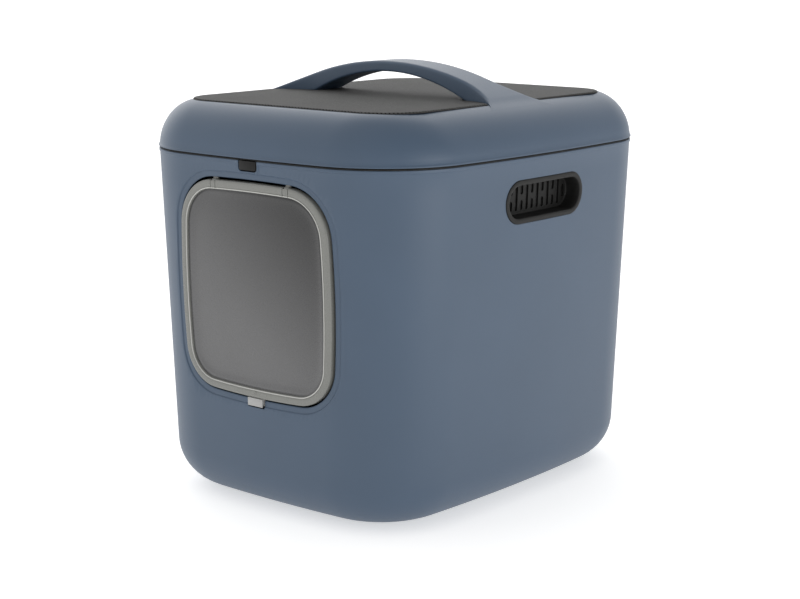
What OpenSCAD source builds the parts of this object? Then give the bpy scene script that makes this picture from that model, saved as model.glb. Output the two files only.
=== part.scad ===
// Hooded litter box: a deep tub with a swinging door flap, and a hinged dome lid with a handle.
// Origin: middle of the base, on the surface it stands on. The door faces -Y, +Z is up.

/* [Tub] */
// Width across the rim
rim_w = 400; // [392:1:408]
// Depth across the rim, front to back
rim_d = 480; // [474:1:486]
// Height of the lid seam above the underside
seam_h = 373.3; // [368:0.1:380]
// Corner radius at the rim
rim_r = 102.4; // [98:0.1:106]
// Corner radius at the base
base_r = 97.7; // [94:0.1:100]
// How far each side wall leans in at the base
draft_x = 14.3; // [12:0.1:16]
// How far the front and back walls lean in at the base
draft_y = 9.8; // [8:0.1:12]
// Bow radius of the side walls
side_bow_r = 1875; // [1700:5:2100]
// Bow radius of the front and back walls
front_bow_r = 1520; // [1400:5:1700]
// Radius of the rounding between the walls and the base
base_fillet = 49.2; // [44:0.1:54]
// Wall thickness of the tub
tub_wall = 3; // [2.8:0.1:3.2]
// Height of the rubber feet below the base
foot_h = 2.5; // [2:0.1:3]

/* [Door] */
// Half width of the door opening
door_half_w = 108.4; // [106:0.1:110]
// Half height of the door opening
door_half_h = 114.8; // [112:0.1:117]
// Height of the middle of the door above the underside
door_mid_h = 238; // [234:0.5:240]
// Corner radius at the top of the door
door_r_top = 54; // [50:1:57]
// Corner radius at the bottom of the door
door_r_bottom = 47; // [44:1:52]
// Width of the shallow recess around the door
recess_w = 6.8; // [5:0.1:8]
// Depth of that recess
recess_depth = 1.2; // [0.8:0.1:1.4]
// Width of the flap frame's band
band_w = 9.6; // [9.2:0.1:10.4]
// Distance from the middle to each flap hinge
flap_hinge_x = 51; // [48:0.5:54]

/* [Lid] */
// Rise of the dome above the seam
dome_rise = 50.7; // [48:0.1:53]
// Inset from the side of the lid to its flat crown
dome_inset_x = 56; // [53:0.5:58]
// Inset from the front of the lid to its flat crown
dome_inset_y = 45; // [43:0.5:47]
// Thickness of the lid shell
lid_wall = 3.2; // [3:0.1:3.4]
// Outward flare of the lid's lower edge
lid_flare = 1.2; // [0.8:0.1:1.4]
// Height of the handle's top above the crown
handle_rise = 37.2; // [36:0.1:39]
// Thickness of the handle at its middle
handle_t = 11.4; // [10:0.1:12]
// Half width of the handle
handle_half = 22; // [20:0.5:23]
// Half width of the mat
mat_half_w = 154; // [150:0.5:156]
// Half depth of the mat
mat_half_d = 195; // [192:0.5:197]
// Height of the mat above the crown
mat_proud = 1.4; // [1:0.1:1.8]

/* [Vents] */
// Height of the vent's middle above the underside
vent_mid_h = 326.8; // [322:0.2:330]
// Length of the vent bezel
vent_l = 137; // [132:1:140]
// Height of the vent bezel
vent_h = 45.5; // [44:0.5:47]
// Width of the bezel band
bezel_w = 5.6; // [5:0.1:6]
// Depth of the grip recess
cup_depth = 18; // [16:0.5:20]

/* [Hidden] */

// Colours
blue = [0.36, 0.42, 0.49];
charcoal = [0.20, 0.20, 0.20];
warm_grey = [0.56, 0.56, 0.54];
smoke = [0.42, 0.42, 0.42];
steel = [0.72, 0.72, 0.74];
rubber = [0.13, 0.13, 0.13];

eps = 0.01;
fit = 0.05;                     // radial clearance of a pin in its bore
slip = 0.6;                     // clearance between parts that swing past each other
past = 20;                      // how far a cutting shape reaches past what it cuts
fine = 64;                      // facets of small round parts
bow_fine = 1440;                // facets of the very large bow cylinders

// Heights from the floor
base_z = foot_h;
seam_z = base_z + seam_h;
seam_gap = 2.4;                 // visible height of the dark seam
rim_z = seam_z - seam_gap / 2;
lid_z = seam_z + seam_gap / 2;
crown_z = seam_z + dome_rise;
bead_h = 3.8;                   // height of the rim bead
bead_out = 0.7;                 // how far the bead stands out

// Outlines: each quarter is a bowed side, a corner arc and a bowed end
side_steps = 3;
corner_steps = 6;
end_steps = 4;

function quarter(w, d, r, bow_x, bow_y, s = side_steps, c = corner_steps, e = end_steps) =
    let (c1 = d - bow_y, c2 = w - bow_x, a = bow_y - r, b = bow_x - r)
    let (gap = sqrt(c1 * c1 + c2 * c2))
    let (along = (a * a - b * b + gap * gap) / (2 * gap))
    let (across = sqrt(a * a - along * along))
    let (px = (along * c2 - across * c1) / gap, py = c1 - (along * c1 + across * c2) / gap)
    let (a2 = atan2(py, px - c2), a1 = atan2(py - c1, px))
    concat(
        [for (i = [0 : s - 1]) [c2, 0] + bow_x * unit(a2 * i / s)],
        [for (i = [0 : c - 1]) [px, py] + r * unit(a2 + (a1 - a2) * i / c)],
        [for (i = [0 : e]) [0, c1] + bow_y * unit(a1 + (90 - a1) * i / e)]
    );

function unit(a) = [cos(a), sin(a)];

function mirrored(upper, lower) =
    let (n = len(upper) - 1, m = len(lower) - 1)
    concat(
        [for (i = [0 : n - 1]) upper[i]],
        [for (i = [n : -1 : 1]) [-upper[i][0], upper[i][1]]],
        [for (i = [0 : m - 1]) -lower[i]],
        [for (i = [m : -1 : 1]) [lower[i][0], -lower[i][1]]]
    );

function plan(w, d, r) =
    let (q = quarter(w, d, r, side_bow_r, front_bow_r))
    mirrored(q, q);

function ring(w, d, r, z) = [for (p = plan(w, d, r)) [p[0], p[1], z]];

// A closed solid through a stack of rings, capped at the first and the last
module ring_solid(rings) {
    n = len(rings[0]);
    last = len(rings) - 1;
    sides = [
        for (k = [0 : last - 1], i = [0 : n - 1])
            let (j = (i + 1) % n, lo = k * n, hi = (k + 1) * n)
            each [[lo + i, hi + i, hi + j], [lo + i, hi + j, lo + j]]
    ];
    first_cap = [for (i = [0 : n - 1]) i];
    last_cap = [for (i = [n - 1 : -1 : 0]) last * n + i];
    polyhedron([for (r = rings) each r], concat([first_cap], sides, [last_cap]));
}

// Tub: section at height h above the underside, drawn in by t
function lean(h) = (seam_h - h) / seam_h;
function wall_w(h) = rim_w / 2 - draft_x * lean(h);
function wall_d(h) = rim_d / 2 - draft_y * lean(h);
function wall_r(h) = rim_r + (base_r - rim_r) * lean(h);
function tub_ring(h, t) = ring(wall_w(h) - t, wall_d(h) - t, wall_r(h) - t, base_z + h);

fillet_steps = 6;
rim_h = rim_z - base_z;
tub_rings = concat(
    [for (i = [0 : fillet_steps]) let (a = 90 - 90 * i / fillet_steps)
        tub_ring(base_fillet * (1 - sin(a)), base_fillet * (1 - cos(a)))],
    [tub_ring(rim_h - bead_h, 0), tub_ring(rim_h - bead_h, -bead_out), tub_ring(rim_h, -bead_out)],
    [tub_ring(rim_h, tub_wall)],
    [for (i = [0 : fillet_steps]) let (a = 90 * i / fillet_steps, r = base_fillet - tub_wall)
        tub_ring(base_fillet - r * sin(a), base_fillet - r * cos(a))]
);

// Door frame of reference: x across, y into the box, z up the leaning front wall
door_lean = atan(draft_y / seam_h);
module at_door() {
    translate([0, -wall_d(door_mid_h), base_z + door_mid_h]) rotate([door_lean, 0, 0]) children();
}
door_side_bow = 1000;
door_end_bow = 1450;
flap_gap_top = 2.8;
flap_gap_bottom = 1.8;
flap_gap_side = 2.6;
flap_half_w = door_half_w - flap_gap_side;
flap_half_h = door_half_h - (flap_gap_top + flap_gap_bottom) / 2;
flap_mid_z = (flap_gap_bottom - flap_gap_top) / 2;

function door_quarter(w, h, r) = quarter(w, h, r, door_side_bow, door_end_bow, 4, 10, 4);
function door_outline(t) = mirrored(
    door_quarter(door_half_w - t, door_half_h - t, door_r_top - t),
    door_quarter(door_half_w - t, door_half_h - t, door_r_bottom - t)
);
function flap_outline(t) = mirrored(
    door_quarter(flap_half_w - t, flap_half_h - t, door_r_top - flap_gap_side - t),
    door_quarter(flap_half_w - t, flap_half_h - t, door_r_bottom - flap_gap_side - t)
);

// A prism across the wall on an outline drawn in x and z
module across_wall(outline, y0, y1) {
    translate([0, y1, 0]) rotate([90, 0, 0]) linear_extrude(y1 - y0) polygon(outline);
}
module flap_prism(t, y0, y1) {
    translate([0, 0, flap_mid_z]) across_wall(flap_outline(t), y0, y1);
}
// The slab between two depths behind the bowed outer face of the front wall
module bowed_slab(y0, y1) {
    translate([0, front_bow_r, -door_half_h - 20]) difference() {
        cylinder(h = 2 * door_half_h + 40, r = front_bow_r - y0, $fn = bow_fine);
        translate([0, 0, -1])
            cylinder(h = 2 * door_half_h + 42, r = front_bow_r - y1, $fn = bow_fine);
    }
}

// Flap: depths behind the outer face of the wall
frame_front = -1.5;
frame_back = 6.5;
chamfer_depth = 0.8;
chamfer_in = 1.6;
rebate_w = 6.5;                 // width of the band behind the panel
panel_y = 1.2;
panel_t = 2;
axis_below_top = 3.5;
flap_axis_y = 4.5;
flap_axis_z = door_half_h - flap_gap_top - axis_below_top;
flap_pin_r = 1.25;
knuckle_r = 3.6;
knuckle_w = 6.4;
slot_w = 7.6;
slot_r = 4.3;
skin_y = 0.6;                   // the frame's front stays whole before this depth
notch_half_w = 12;
notch_depth = 9;
lock_half_w = 10.5;
lock_drop = 7.2;                // how far the tab reaches below the door's edge
neck_bottom = door_half_h + 3.6;
bracket_pad_y = 4.4;
pad_root_y = 2;                 // pads behind the front wall grow from inside it
bracket_t = 2.5;
bracket_z0 = door_half_h + 3.6;
bracket_z1 = door_half_h + 11.6;
bracket_half = 12;
bracket_pad_edge = 1;           // how far the pad behind a bracket reaches past it
bracket_hole_end = 2.2;         // the blind screw holes stop here, inside the bowed wall
bracket_screw_x = 8;            // from the middle of a bracket to each of its screws
lock_front = 0.7;
lock_back = 4.1;
lock_cover_y = 4.4;
lock_top = flap_mid_z - flap_half_h + 6;
frame_low = flap_mid_z - flap_half_h;
cover_half = 16;
dish_depth = 1.8;
dish_in = 18;
pin_x0 = 42.5;                  // inner end of a flap pin
pin_x1 = 63;                    // outer end of a flap pin
pin_bore_end = 90;              // the pin's bore runs out of the frame's corner

// A rod along X centred on x = 0
module rod_x(r, l) {
    rotate([0, 90, 0]) cylinder(h = l, r = r, center = true, $fn = fine);
}
// A rod along Y centred on y = 0
module rod_y(r, l) {
    rotate([90, 0, 0]) cylinder(h = l, r = r, center = true, $fn = fine);
}
// A round hole along Y that starts at y0 and runs towards +Y
module block_hole(y0, r) {
    translate([0, y0 + past, 0]) rotate([90, 0, 0]) cylinder(h = past, r = r, $fn = fine);
}
module block(x, y, z) {
    translate([x[0], y[0], z[0]]) cube([x[1] - x[0], y[1] - y[0], z[1] - z[0]]);
}
module both_sides() {
    children();
    mirror([1, 0, 0]) children();
}

// Vent frame of reference: x towards the back, y up the leaning side wall, z outwards
side_lean = atan(draft_x / seam_h);
module at_vent() {
    translate([wall_w(vent_mid_h), 0, base_z + vent_mid_h]) rotate([0, side_lean, 0])
        rotate([90, 0, 90]) children();
}
module stadium(l, h, z0, z1) {
    translate([0, 0, z0]) linear_extrude(z1 - z0) union() {
        square([l - h, h], center = true);
        for (s = [-1, 1]) translate([s * (l - h) / 2, 0]) circle(d = h, $fn = fine);
    }
}
flange_seat = -1.5;             // flat seat of the bezel below the outer face
flange_proud = 0.9;
cup_wall = 2;
cup_l = vent_l - 2 * bezel_w;
cup_h = vent_h - 2 * bezel_w;
slot_pitch = 9.25;
slot_width = 4.6;
filter_t = 8;
cover_t = 2;

// Screws: shank radius, head radius and head height
small_screw_r = 1.05;
small_head_r = 2.2;
leaf_screw_r = 1.2;
leaf_head_r = 2.4;
wall_screw_r = 1.3;
wall_head_r = 2.6;
liner_screw_r = 1.5;
liner_head_r = 3;
head_h = 1.5;
screw_bite = 0.7;               // how far a cover screw enters the grille

// Grille and filter
long_slot = 27;
short_slot = 10.6;
end_slot = 14;
cover_slot = 24;
short_slot_y = 8.2;             // height of the short slots above and below the middle
cover_l = 128;
cover_h = 37;
pad_l = 114;
pad_h = 30;
cover_screw_x = 60.8;
back_z = -cup_depth - cup_wall;
cover_z = back_z - filter_t - cover_t;

// Rear hinges of the lid
hinge_x = 60;
hinge_y = rim_d / 2 + lid_flare;
hinge_z = seam_z;
hinge_r = 4;
hinge_gap_r = 4.6;
hinge_half = 17.8;
hinge_gap_l = 2 * hinge_half + 1.6;
middle_half = 6.4;
knuckle_gap = 0.4;              // between the middle knuckle and each outer one
lid_pin_r = 1.5;
leaf_seat_y = rim_d / 2 - 2;
leaf_t = 2.4;
leaf_low = 27;
leaf_screw_low = [14.5, 23];
leaf_screw_l = 8.4;
leaf_plate_half = 10.5;
leaf_boss_r = 4;
leaf_boss_l = 7;
leaf_boss_in = 5.2;              // from the leaf's seat to the middle of a boss
lid_screw_x = 7;
lid_screw_y = 18;               // from the hinge axis forwards to the lid leaf's screws
module at_hinges() {
    for (s = [-1, 1]) translate([s * hinge_x, hinge_y, hinge_z]) children();
}

// Latch at the front
latch_y = -rim_d / 2 + 3.4;
latch_z = seam_z - 3.3;
latch_pin_r = 1;
latch_barrel_r = 2.4;
latch_half = 8.9;
lug_gap_half = 9.15;
latch_tab_half = 11.75;
latch_tab_low = seam_z - 10.6;
latch_plate_top = latch_z + 2;
latch_corner_r = 2;
plate_front = 4;                // front face of the latch, before its axis
plate_t = 2;                    // thickness of the latch between the lugs
plate_edge_t = 1.2;             // thickness of its ends, which pass before the lugs
finger_half = 6;
finger_low = 1.4;               // above the latch's lower edge
finger_t = 1.8;
latch_notch_half = 13;
latch_notch_low = seam_z - 12;
latch_notch_r = 4;
lug_half = 12.6;
lug_low = latch_z - latch_barrel_r;
lug_front = 1.8;                // before the latch's axis
lug_back = 4.4;                 // behind it
catch_y = -rim_d / 2 + 4.4;
catch_t = 1.5;
catch_half = 12;
catch_pad_edge = 0.5;           // how far the catch's pad reaches below it
catch_low = seam_z - 19.6;       // stays above the swing of the flap's top edge
catch_top = seam_z - 6;
catch_screw_l = 4;
catch_screw_x = 7;
catch_screw_z = seam_z - 15.8;
spring_r = 1.5;
wire_r = 0.25;
spring_turns = 5;
spring_half = 1.9;
spring_room_half = 3.2;

// Feet
foot_x = 112;
foot_y = 155;
foot_r = 11;
foot_seat = 1.5;

// Screws that hold the liner: places on the flange
end_screw = [105, 223];
side_screw = [186, 80];
liner_screws_xy = [
    for (s = [-1, 1], t = [-1, 1], p = [end_screw, side_screw]) [s * p[0], t * p[1]]
];

// ---------------------------------------------------------------- tub
module body_tub() {
    color(blue) difference() {
        union() {
            ring_solid(tub_rings);
            flap_bracket_pads();
            leaf_bosses();
            catch_pad();
        }
        at_door() {
            across_wall(door_outline(0), -past, past);
            intersection() {
                across_wall(door_outline(-recess_w), -past, past);
                bowed_slab(-past, recess_depth);
            }
            block([-notch_half_w, notch_half_w], [-past, past],
                  [-door_half_h - notch_depth, -door_half_h + past]);
            bracket_screw_places() block_hole(bracket_hole_end, wall_screw_r + fit);
        }
        both_sides() at_vent() {
            stadium(cup_l + 2 * (cup_wall + slip), cup_h + 2 * (cup_wall + slip), -past, past);
            stadium(vent_l + slip, vent_h + slip, flange_seat, past);
        }
        at_hinges() {
            rod_x(hinge_gap_r, hinge_gap_l);
            block([-hinge_half - slip, hinge_half + slip], [leaf_seat_y - hinge_y, past],
                  [-leaf_low - slip, past]);
        }
        leaf_screw_places() block_hole(-leaf_screw_l + leaf_t - 1, wall_screw_r + fit);
        catch_screw_places() block_hole(catch_t - catch_screw_l - 0.3, small_screw_r + fit);
        latch_notch();
        for (x = [-foot_x, foot_x], y = [-foot_y, foot_y])
            translate([x, y, -1]) cylinder(h = base_z + foot_seat + 1, r = foot_r + 0.1, $fn = fine);
    }
}
// U-shaped notch in the front rim for the latch
module latch_notch() {
    straight = latch_notch_half - latch_notch_r;
    translate([0, latch_y, 0]) rotate([90, 0, 0]) linear_extrude(12, center = true) union() {
        translate([-latch_notch_half, latch_notch_low + latch_notch_r])
            square([2 * latch_notch_half, past]);
        translate([-straight, latch_notch_low]) square([2 * straight, past]);
        for (s = [-1, 1])
            translate([s * straight, latch_notch_low + latch_notch_r])
                circle(r = latch_notch_r, $fn = fine);
    }
}
module flap_bracket_pads() {
    at_door() for (s = [-1, 1]) translate([s * flap_hinge_x, 0, 0])
        block([-bracket_half - bracket_pad_edge, bracket_half + bracket_pad_edge],
              [pad_root_y, bracket_pad_y],
              [bracket_z0 - bracket_pad_edge, bracket_z1 + bracket_pad_edge]);
}
module bracket_screw_places() {
    for (s = [-1, 1], t = [-1, 1])
        translate([s * flap_hinge_x + t * bracket_screw_x, 0, (bracket_z0 + bracket_z1) / 2])
            children();
}
module leaf_bosses() {
    leaf_screw_places() translate([0, -leaf_boss_in, 0]) rod_y(leaf_boss_r, leaf_boss_l);
}
module leaf_screw_places() {
    at_hinges() for (low = leaf_screw_low)
        translate([0, leaf_seat_y - hinge_y, -low]) children();
}
module catch_pad() {
    block([-catch_half - 2, catch_half + 2], [-rim_d / 2 + pad_root_y, catch_y],
          [catch_low - catch_pad_edge, latch_notch_low]);
}
module catch_screw_places() {
    for (s = [-1, 1]) translate([s * catch_screw_x, catch_y, catch_screw_z]) children();
}

module feet_at(x, y) {
    color(rubber) translate([x, y, 0]) cylinder(h = base_z + foot_seat, r = foot_r, $fn = fine);
}
module foot_front_left() { feet_at(-foot_x, -foot_y); }
module foot_front_right() { feet_at(foot_x, -foot_y); }
module foot_rear_left() { feet_at(-foot_x, foot_y); }
module foot_rear_right() { feet_at(foot_x, foot_y); }

// ---------------------------------------------------------------- vents
module vent_cup_right() {
    color(charcoal) at_vent() difference() {
        union() {
            intersection() {
                stadium(vent_l, vent_h, flange_seat, 5);
                translate([0, 0, -side_bow_r]) rotate([90, 0, 0])
                    cylinder(h = vent_h + 10, r = side_bow_r + flange_proud, center = true,
                             $fn = bow_fine);
            }
            stadium(cup_l + 2 * cup_wall, cup_h + 2 * cup_wall, -cup_depth - cup_wall, flange_seat);
        }
        stadium(cup_l, cup_h, -cup_depth, 10);
        grille_slots(back_z - 1, -cup_depth + 1);
        cover_screw_places() translate([0, 0, back_z])
            cylinder(h = 2 * screw_bite, r = small_screw_r, center = true, $fn = fine);
    }
}
module vent_cup_left() { mirror([1, 0, 0]) vent_cup_right(); }

// Pairs of short slots in every second column, long ones between them, one short at each end
module grille_slots(z0, z1) {
    for (i = [-2 : 2], s = [-1, 1])
        upright_slot(2 * i * slot_pitch, s * short_slot_y, short_slot, z0, z1);
    for (i = [-3 : 2]) upright_slot((2 * i + 1) * slot_pitch, 0, long_slot, z0, z1);
    for (s = [-1, 1]) upright_slot(s * 6 * slot_pitch, 0, end_slot, z0, z1);
}
module upright_slot(x, y, l, z0, z1) {
    translate([x, y, 0]) rotate(90) stadium(l, slot_width, z0, z1);
}
module cover_screw_places() {
    for (s = [-1, 1]) translate([s * cover_screw_x, 0, 0]) children();
}
module carbon_filter_right() {
    color(rubber) at_vent() stadium(pad_l, pad_h, back_z - filter_t, back_z);
}
module carbon_filter_left() { mirror([1, 0, 0]) carbon_filter_right(); }

module filter_cover_right() {
    color(charcoal) at_vent() difference() {
        stadium(cover_l, cover_h, cover_z, back_z);
        stadium(pad_l + slip, pad_h + slip, back_z - filter_t, back_z + 1);
        for (i = [-4 : 4]) upright_slot(i * slot_pitch, 0, cover_slot, cover_z - 1, back_z);
        cover_screw_places() translate([0, 0, cover_z - 1])
            cylinder(h = past, r = small_screw_r, $fn = fine);
    }
}
module filter_cover_left() { mirror([1, 0, 0]) filter_cover_right(); }

module filter_screws() {
    color(steel) both_sides() at_vent() cover_screw_places() {
        translate([0, 0, cover_z]) {
            cylinder(h = back_z - cover_z + screw_bite - 0.1, r = small_screw_r - fit, $fn = fine);
            translate([0, 0, -head_h]) cylinder(h = head_h, r = small_head_r, $fn = fine);
        }
    }
}

// ---------------------------------------------------------------- flap
module flap_frame() {
    color(warm_grey) at_door() difference() {
        union() {
            intersection() {
                flap_prism(chamfer_in, -10, 15);
                bowed_slab(frame_front, frame_back);
            }
            intersection() {
                flap_prism(0, -10, 15);
                bowed_slab(frame_front + chamfer_depth, frame_back);
            }
            // Raised nub above the lock tab
            translate([0, frame_front - 0.3, lock_top]) rod_y(1.6, 1.6);
        }
        flap_prism(band_w, -20, 20);
        intersection() {
            flap_prism(rebate_w, -10, 20);
            bowed_slab(panel_y, 20);
        }
        for (s = [-1, 1]) translate([s * flap_hinge_x, 0, flap_axis_z]) intersection() {
            union() {
                translate([0, flap_axis_y, 0]) rod_x(slot_r, slot_w);
                block([-slot_w / 2, slot_w / 2], [skin_y, past], [0, past]);
            }
            block([-slot_w, slot_w], [skin_y, past], [-past, past]);
        }
        for (s = [-1, 1]) translate([s * (pin_x0 + pin_bore_end) / 2, flap_axis_y, flap_axis_z])
            rod_x(flap_pin_r + fit, pin_bore_end - pin_x0 + 1);
        block([-lock_half_w - 0.3, lock_half_w + 0.3], [lock_front, past],
              [frame_low - past, lock_top + 0.2]);
        block([-cover_half - 0.1, cover_half + 0.1], [lock_cover_y, past],
              [frame_low - past, lock_top + 0.2]);
    }
}
module flap_panel() {
    color(smoke) at_door() difference() {
        intersection() {
            flap_prism(rebate_w + 0.1, -10, 20);
            bowed_slab(panel_y, panel_y + panel_t + dish_depth);
        }
        intersection() {
            flap_prism(dish_in, -10, 20);
            bowed_slab(-5, panel_y + dish_depth);
        }
        difference() {
            intersection() {
                flap_prism(-5, -10, 20);
                bowed_slab(panel_y + panel_t, 20);
            }
            flap_prism(dish_in - 2, -20, 25);
        }
    }
}
module flap_pins() {
    color(steel) at_door() for (s = [-1, 1])
        translate([s * (pin_x0 + pin_x1) / 2, flap_axis_y, flap_axis_z])
            rod_x(flap_pin_r, pin_x1 - pin_x0);
}

module flap_bracket_right() {
    color(warm_grey) at_door() translate([flap_hinge_x, 0, 0]) difference() {
        union() {
            block([-bracket_half, bracket_half], [bracket_pad_y, bracket_pad_y + bracket_t],
                  [bracket_z0, bracket_z1]);
            block([-knuckle_w / 2, knuckle_w / 2], [bracket_pad_y, bracket_pad_y + bracket_t],
                  [flap_axis_z, bracket_z0 + eps]);
            translate([0, flap_axis_y, flap_axis_z]) rod_x(knuckle_r, knuckle_w);
        }
        translate([0, flap_axis_y, flap_axis_z]) rod_x(flap_pin_r + fit, knuckle_w + 2);
        translate([-flap_hinge_x, 0, 0]) bracket_screw_places() rod_y(wall_screw_r + fit, past);
    }
}
module flap_bracket_left() { mirror([1, 0, 0]) flap_bracket_right(); }

module bracket_screws() {
    back = bracket_pad_y + bracket_t;
    color(steel) at_door() bracket_screw_places()
        screw_y(back, back - bracket_hole_end - 0.3, wall_screw_r, wall_head_r);
}
// A pan-head screw along Y with its head on the +Y side of y
module screw_y(y, l, r, head_r) {
    translate([0, y, 0]) rotate([90, 0, 0]) cylinder(h = l, r = r, $fn = fine);
    translate([0, y + head_h, 0]) rotate([90, 0, 0]) cylinder(h = head_h, r = head_r, $fn = fine);
}

module flap_lock_slider() {
    color("white") at_door() union() {
        block([-lock_half_w, lock_half_w], [lock_front + 0.2, lock_back],
              [frame_low - 0.4, lock_top - 0.2]);
        block([-lock_half_w, lock_half_w], [-1.6, 5.6], [-neck_bottom, frame_low - 0.4]);
        block([-lock_half_w, lock_half_w], [-1.6, -0.4], [-door_half_h - lock_drop, -neck_bottom]);
        block([-lock_half_w, lock_half_w], [3.8, 5.6], [-door_half_h - lock_drop, -neck_bottom]);
    }
}
module lock_cover() {
    color(warm_grey) at_door()
        block([-cover_half, cover_half], [lock_cover_y, frame_back - 0.1],
              [frame_low + 0.4, lock_top - 0.1]);
}

// ---------------------------------------------------------------- lid
corner_shrink = 1.36;           // how fast the dome's corners tighten towards the crown
dome_steps = 9;
function dome_ring(ix, iy, z) = ring(
    rim_w / 2 - ix, rim_d / 2 - iy, rim_r - corner_shrink * (ix + iy) / 2, z
);
function outer_dome(a) = dome_ring(
    dome_inset_x * (1 - cos(a)), dome_inset_y * (1 - cos(a)), seam_z + dome_rise * sin(a)
);
function inner_dome(a) = dome_ring(
    dome_inset_x - (dome_inset_x - lid_wall) * cos(a),
    dome_inset_y - (dome_inset_y - lid_wall) * cos(a),
    seam_z + (dome_rise - lid_wall) * sin(a)
);
flare_h = 5;
flare_a = asin(flare_h / dome_rise);
foot_a = asin((lid_z - seam_z) / (dome_rise - lid_wall));
lid_rings = concat(
    [for (i = [0 : dome_steps]) inner_dome(90 - (90 - foot_a) * i / dome_steps)],
    [dome_ring(-lid_flare, -lid_flare, lid_z), dome_ring(-0.4, -0.4, lid_z + flare_h / 2)],
    [for (i = [0 : dome_steps]) outer_dome(flare_a + (90 - flare_a) * i / dome_steps)]
);
handle_top = crown_z + handle_rise;
handle_r = 340;
grip_r = 228;
root_start = 102;               // where the handle begins to widen
root_r = 80;
root_end = 170;
mat_r = 50;
mat_seat = 1.2;
boss_top = seam_z + 25;
boss_r = 4.5;
boss_hole = 15;
flange_z = rim_z + 0.9;
flange_in = 20;                 // inner edge of the liner's flange
lip_low = seam_z - 7.6;
collar_top = lid_z + 6;
latch_room_half = 20;

// Half width of the handle in plan at distance x from the middle
function handle_half_at(x) =
    x < root_start ? handle_half : handle_half + root_r - sqrt(pow(root_r, 2) - pow(x - root_start, 2));
root_steps = 8;
root_xs = [for (i = [0 : root_steps]) root_start + (root_end - root_start) * i / root_steps];
module handle_plan(t) {
    right = [for (x = root_xs) [x, handle_half_at(x) + t]];
    left = [for (i = [root_steps : -1 : 0]) [-root_xs[i], handle_half_at(root_xs[i]) + t]];
    upper = concat(right, [[root_end, 0], [-root_end, 0]], left);
    polygon(upper);
    mirror([0, 1]) polygon(upper);
}
module handle() {
    intersection() {
        rotate([90, 0, 0]) linear_extrude(160, center = true) difference() {
            intersection() {
                translate([0, handle_top - handle_r]) circle(r = handle_r, $fn = 360);
                translate([-root_end, crown_z - 2]) square([2 * root_end, 60]);
            }
            translate([0, handle_top - handle_t - grip_r]) circle(r = grip_r, $fn = 360);
        }
        translate([0, 0, crown_z - 5]) linear_extrude(60) handle_plan(0);
    }
}
function rounded(w, d, r) = [
    for (q = [[w - r, d - r, 0], [r - w, d - r, 90], [r - w, r - d, 180], [w - r, r - d, 270]],
         i = [0 : 8]) [q[0], q[1]] + r * unit(q[2] + 90 * i / 8)
];
module mat_plan(t) {
    difference() {
        polygon(rounded(mat_half_w + t, mat_half_d + t, mat_r + t));
        for (s = [0, 1]) mirror([s, 0]) intersection() {
            handle_plan(0.8 - t);
            translate([root_start, -100]) square([100, 200]);
        }
    }
}
module lid_shell() {
    color(blue) difference() {
        union() {
            difference() {
                ring_solid(lid_rings);
                translate([0, 0, crown_z - mat_seat]) linear_extrude(20)
                    polygon(rounded(mat_half_w + 0.6, mat_half_d + 0.6, mat_r + 0.6));
            }
            handle();
            for (p = liner_screws_xy)
                translate([p[0], p[1], lid_z]) cylinder(h = boss_top - lid_z, r = boss_r, $fn = fine);
        }
        for (p = liner_screws_xy)
            translate([p[0], p[1], lid_z - 1])
                cylinder(h = boss_hole, r = liner_screw_r + fit, $fn = fine);
        at_hinges() {
            rod_x(hinge_gap_r, hinge_gap_l);
            block([-middle_half - slip, middle_half + slip], [-past, past], [0, hinge_gap_r]);
        }
    }
}
module top_mat() {
    color(charcoal) translate([0, 0, crown_z - mat_seat]) linear_extrude(mat_seat + mat_proud)
        mat_plan(0);
}

// A flat ring that follows the rim between two insets
module rim_band(in0, in1, z0, z1) {
    translate([0, 0, z0]) linear_extrude(z1 - z0) difference() {
        polygon(plan(rim_w / 2 - in0, rim_d / 2 - in0, rim_r - in0));
        polygon(plan(rim_w / 2 - in1, rim_d / 2 - in1, rim_r - in1));
    }
}
module lid_liner() {
    color(charcoal) difference() {
        union() {
            rim_band(1.6, flange_in, flange_z, lid_z);
            rim_band(4.2, 6.2, lip_low, flange_z + eps);
            rim_band(4.6, 6.6, lid_z - eps, collar_top);
            // The block that carries the latch pin
            block([-lug_half, lug_half], [latch_y - lug_front, latch_y + lug_back],
                  [lug_low, flange_z + eps]);
        }
        // Room for the latch: between the lugs, beside them, and above the catch
        block([-lug_gap_half, lug_gap_half], [latch_y - 6, latch_y + 6],
              [lip_low - 1, flange_z - 0.1]);
        both_sides() block([lug_half, latch_room_half], [latch_y - 3, latch_y + 8],
                           [lip_low - 1, flange_z]);
        block([-latch_room_half, latch_room_half], [latch_y - 3, latch_y + 8],
              [lip_low - 1, lug_low]);
        translate([0, latch_y, latch_z]) rod_x(latch_pin_r + fit, 2 * lug_half + 2);
        at_hinges() {
            rod_x(hinge_gap_r, hinge_gap_l);
            block([-leaf_plate_half - slip, leaf_plate_half + slip], [-14, past],
                  [lid_z - hinge_z, past]);
        }
        for (p = liner_screws_xy) translate([p[0], p[1], flange_z - 1])
            cylinder(h = past, r = liner_screw_r + fit, $fn = fine);
        lid_leaf_screw_places()
            cylinder(h = past, r = leaf_screw_r + fit, center = true, $fn = fine);
    }
}
module rim_seal() {
    color(rubber) difference() {
        rim_band(0.4, 2.6, rim_z, flange_z);
        at_hinges() rod_x(hinge_gap_r, hinge_gap_l);
        block([-latch_notch_half, latch_notch_half], [-rim_d, -rim_d / 4],
              [rim_z - 1, flange_z + 1]);
    }
}
module liner_screws() {
    color(steel) for (p = liner_screws_xy) translate([p[0], p[1], flange_z]) {
        cylinder(h = 10, r = liner_screw_r, $fn = fine);
        translate([0, 0, -head_h]) cylinder(h = head_h, r = liner_head_r, $fn = fine);
    }
}

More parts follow.
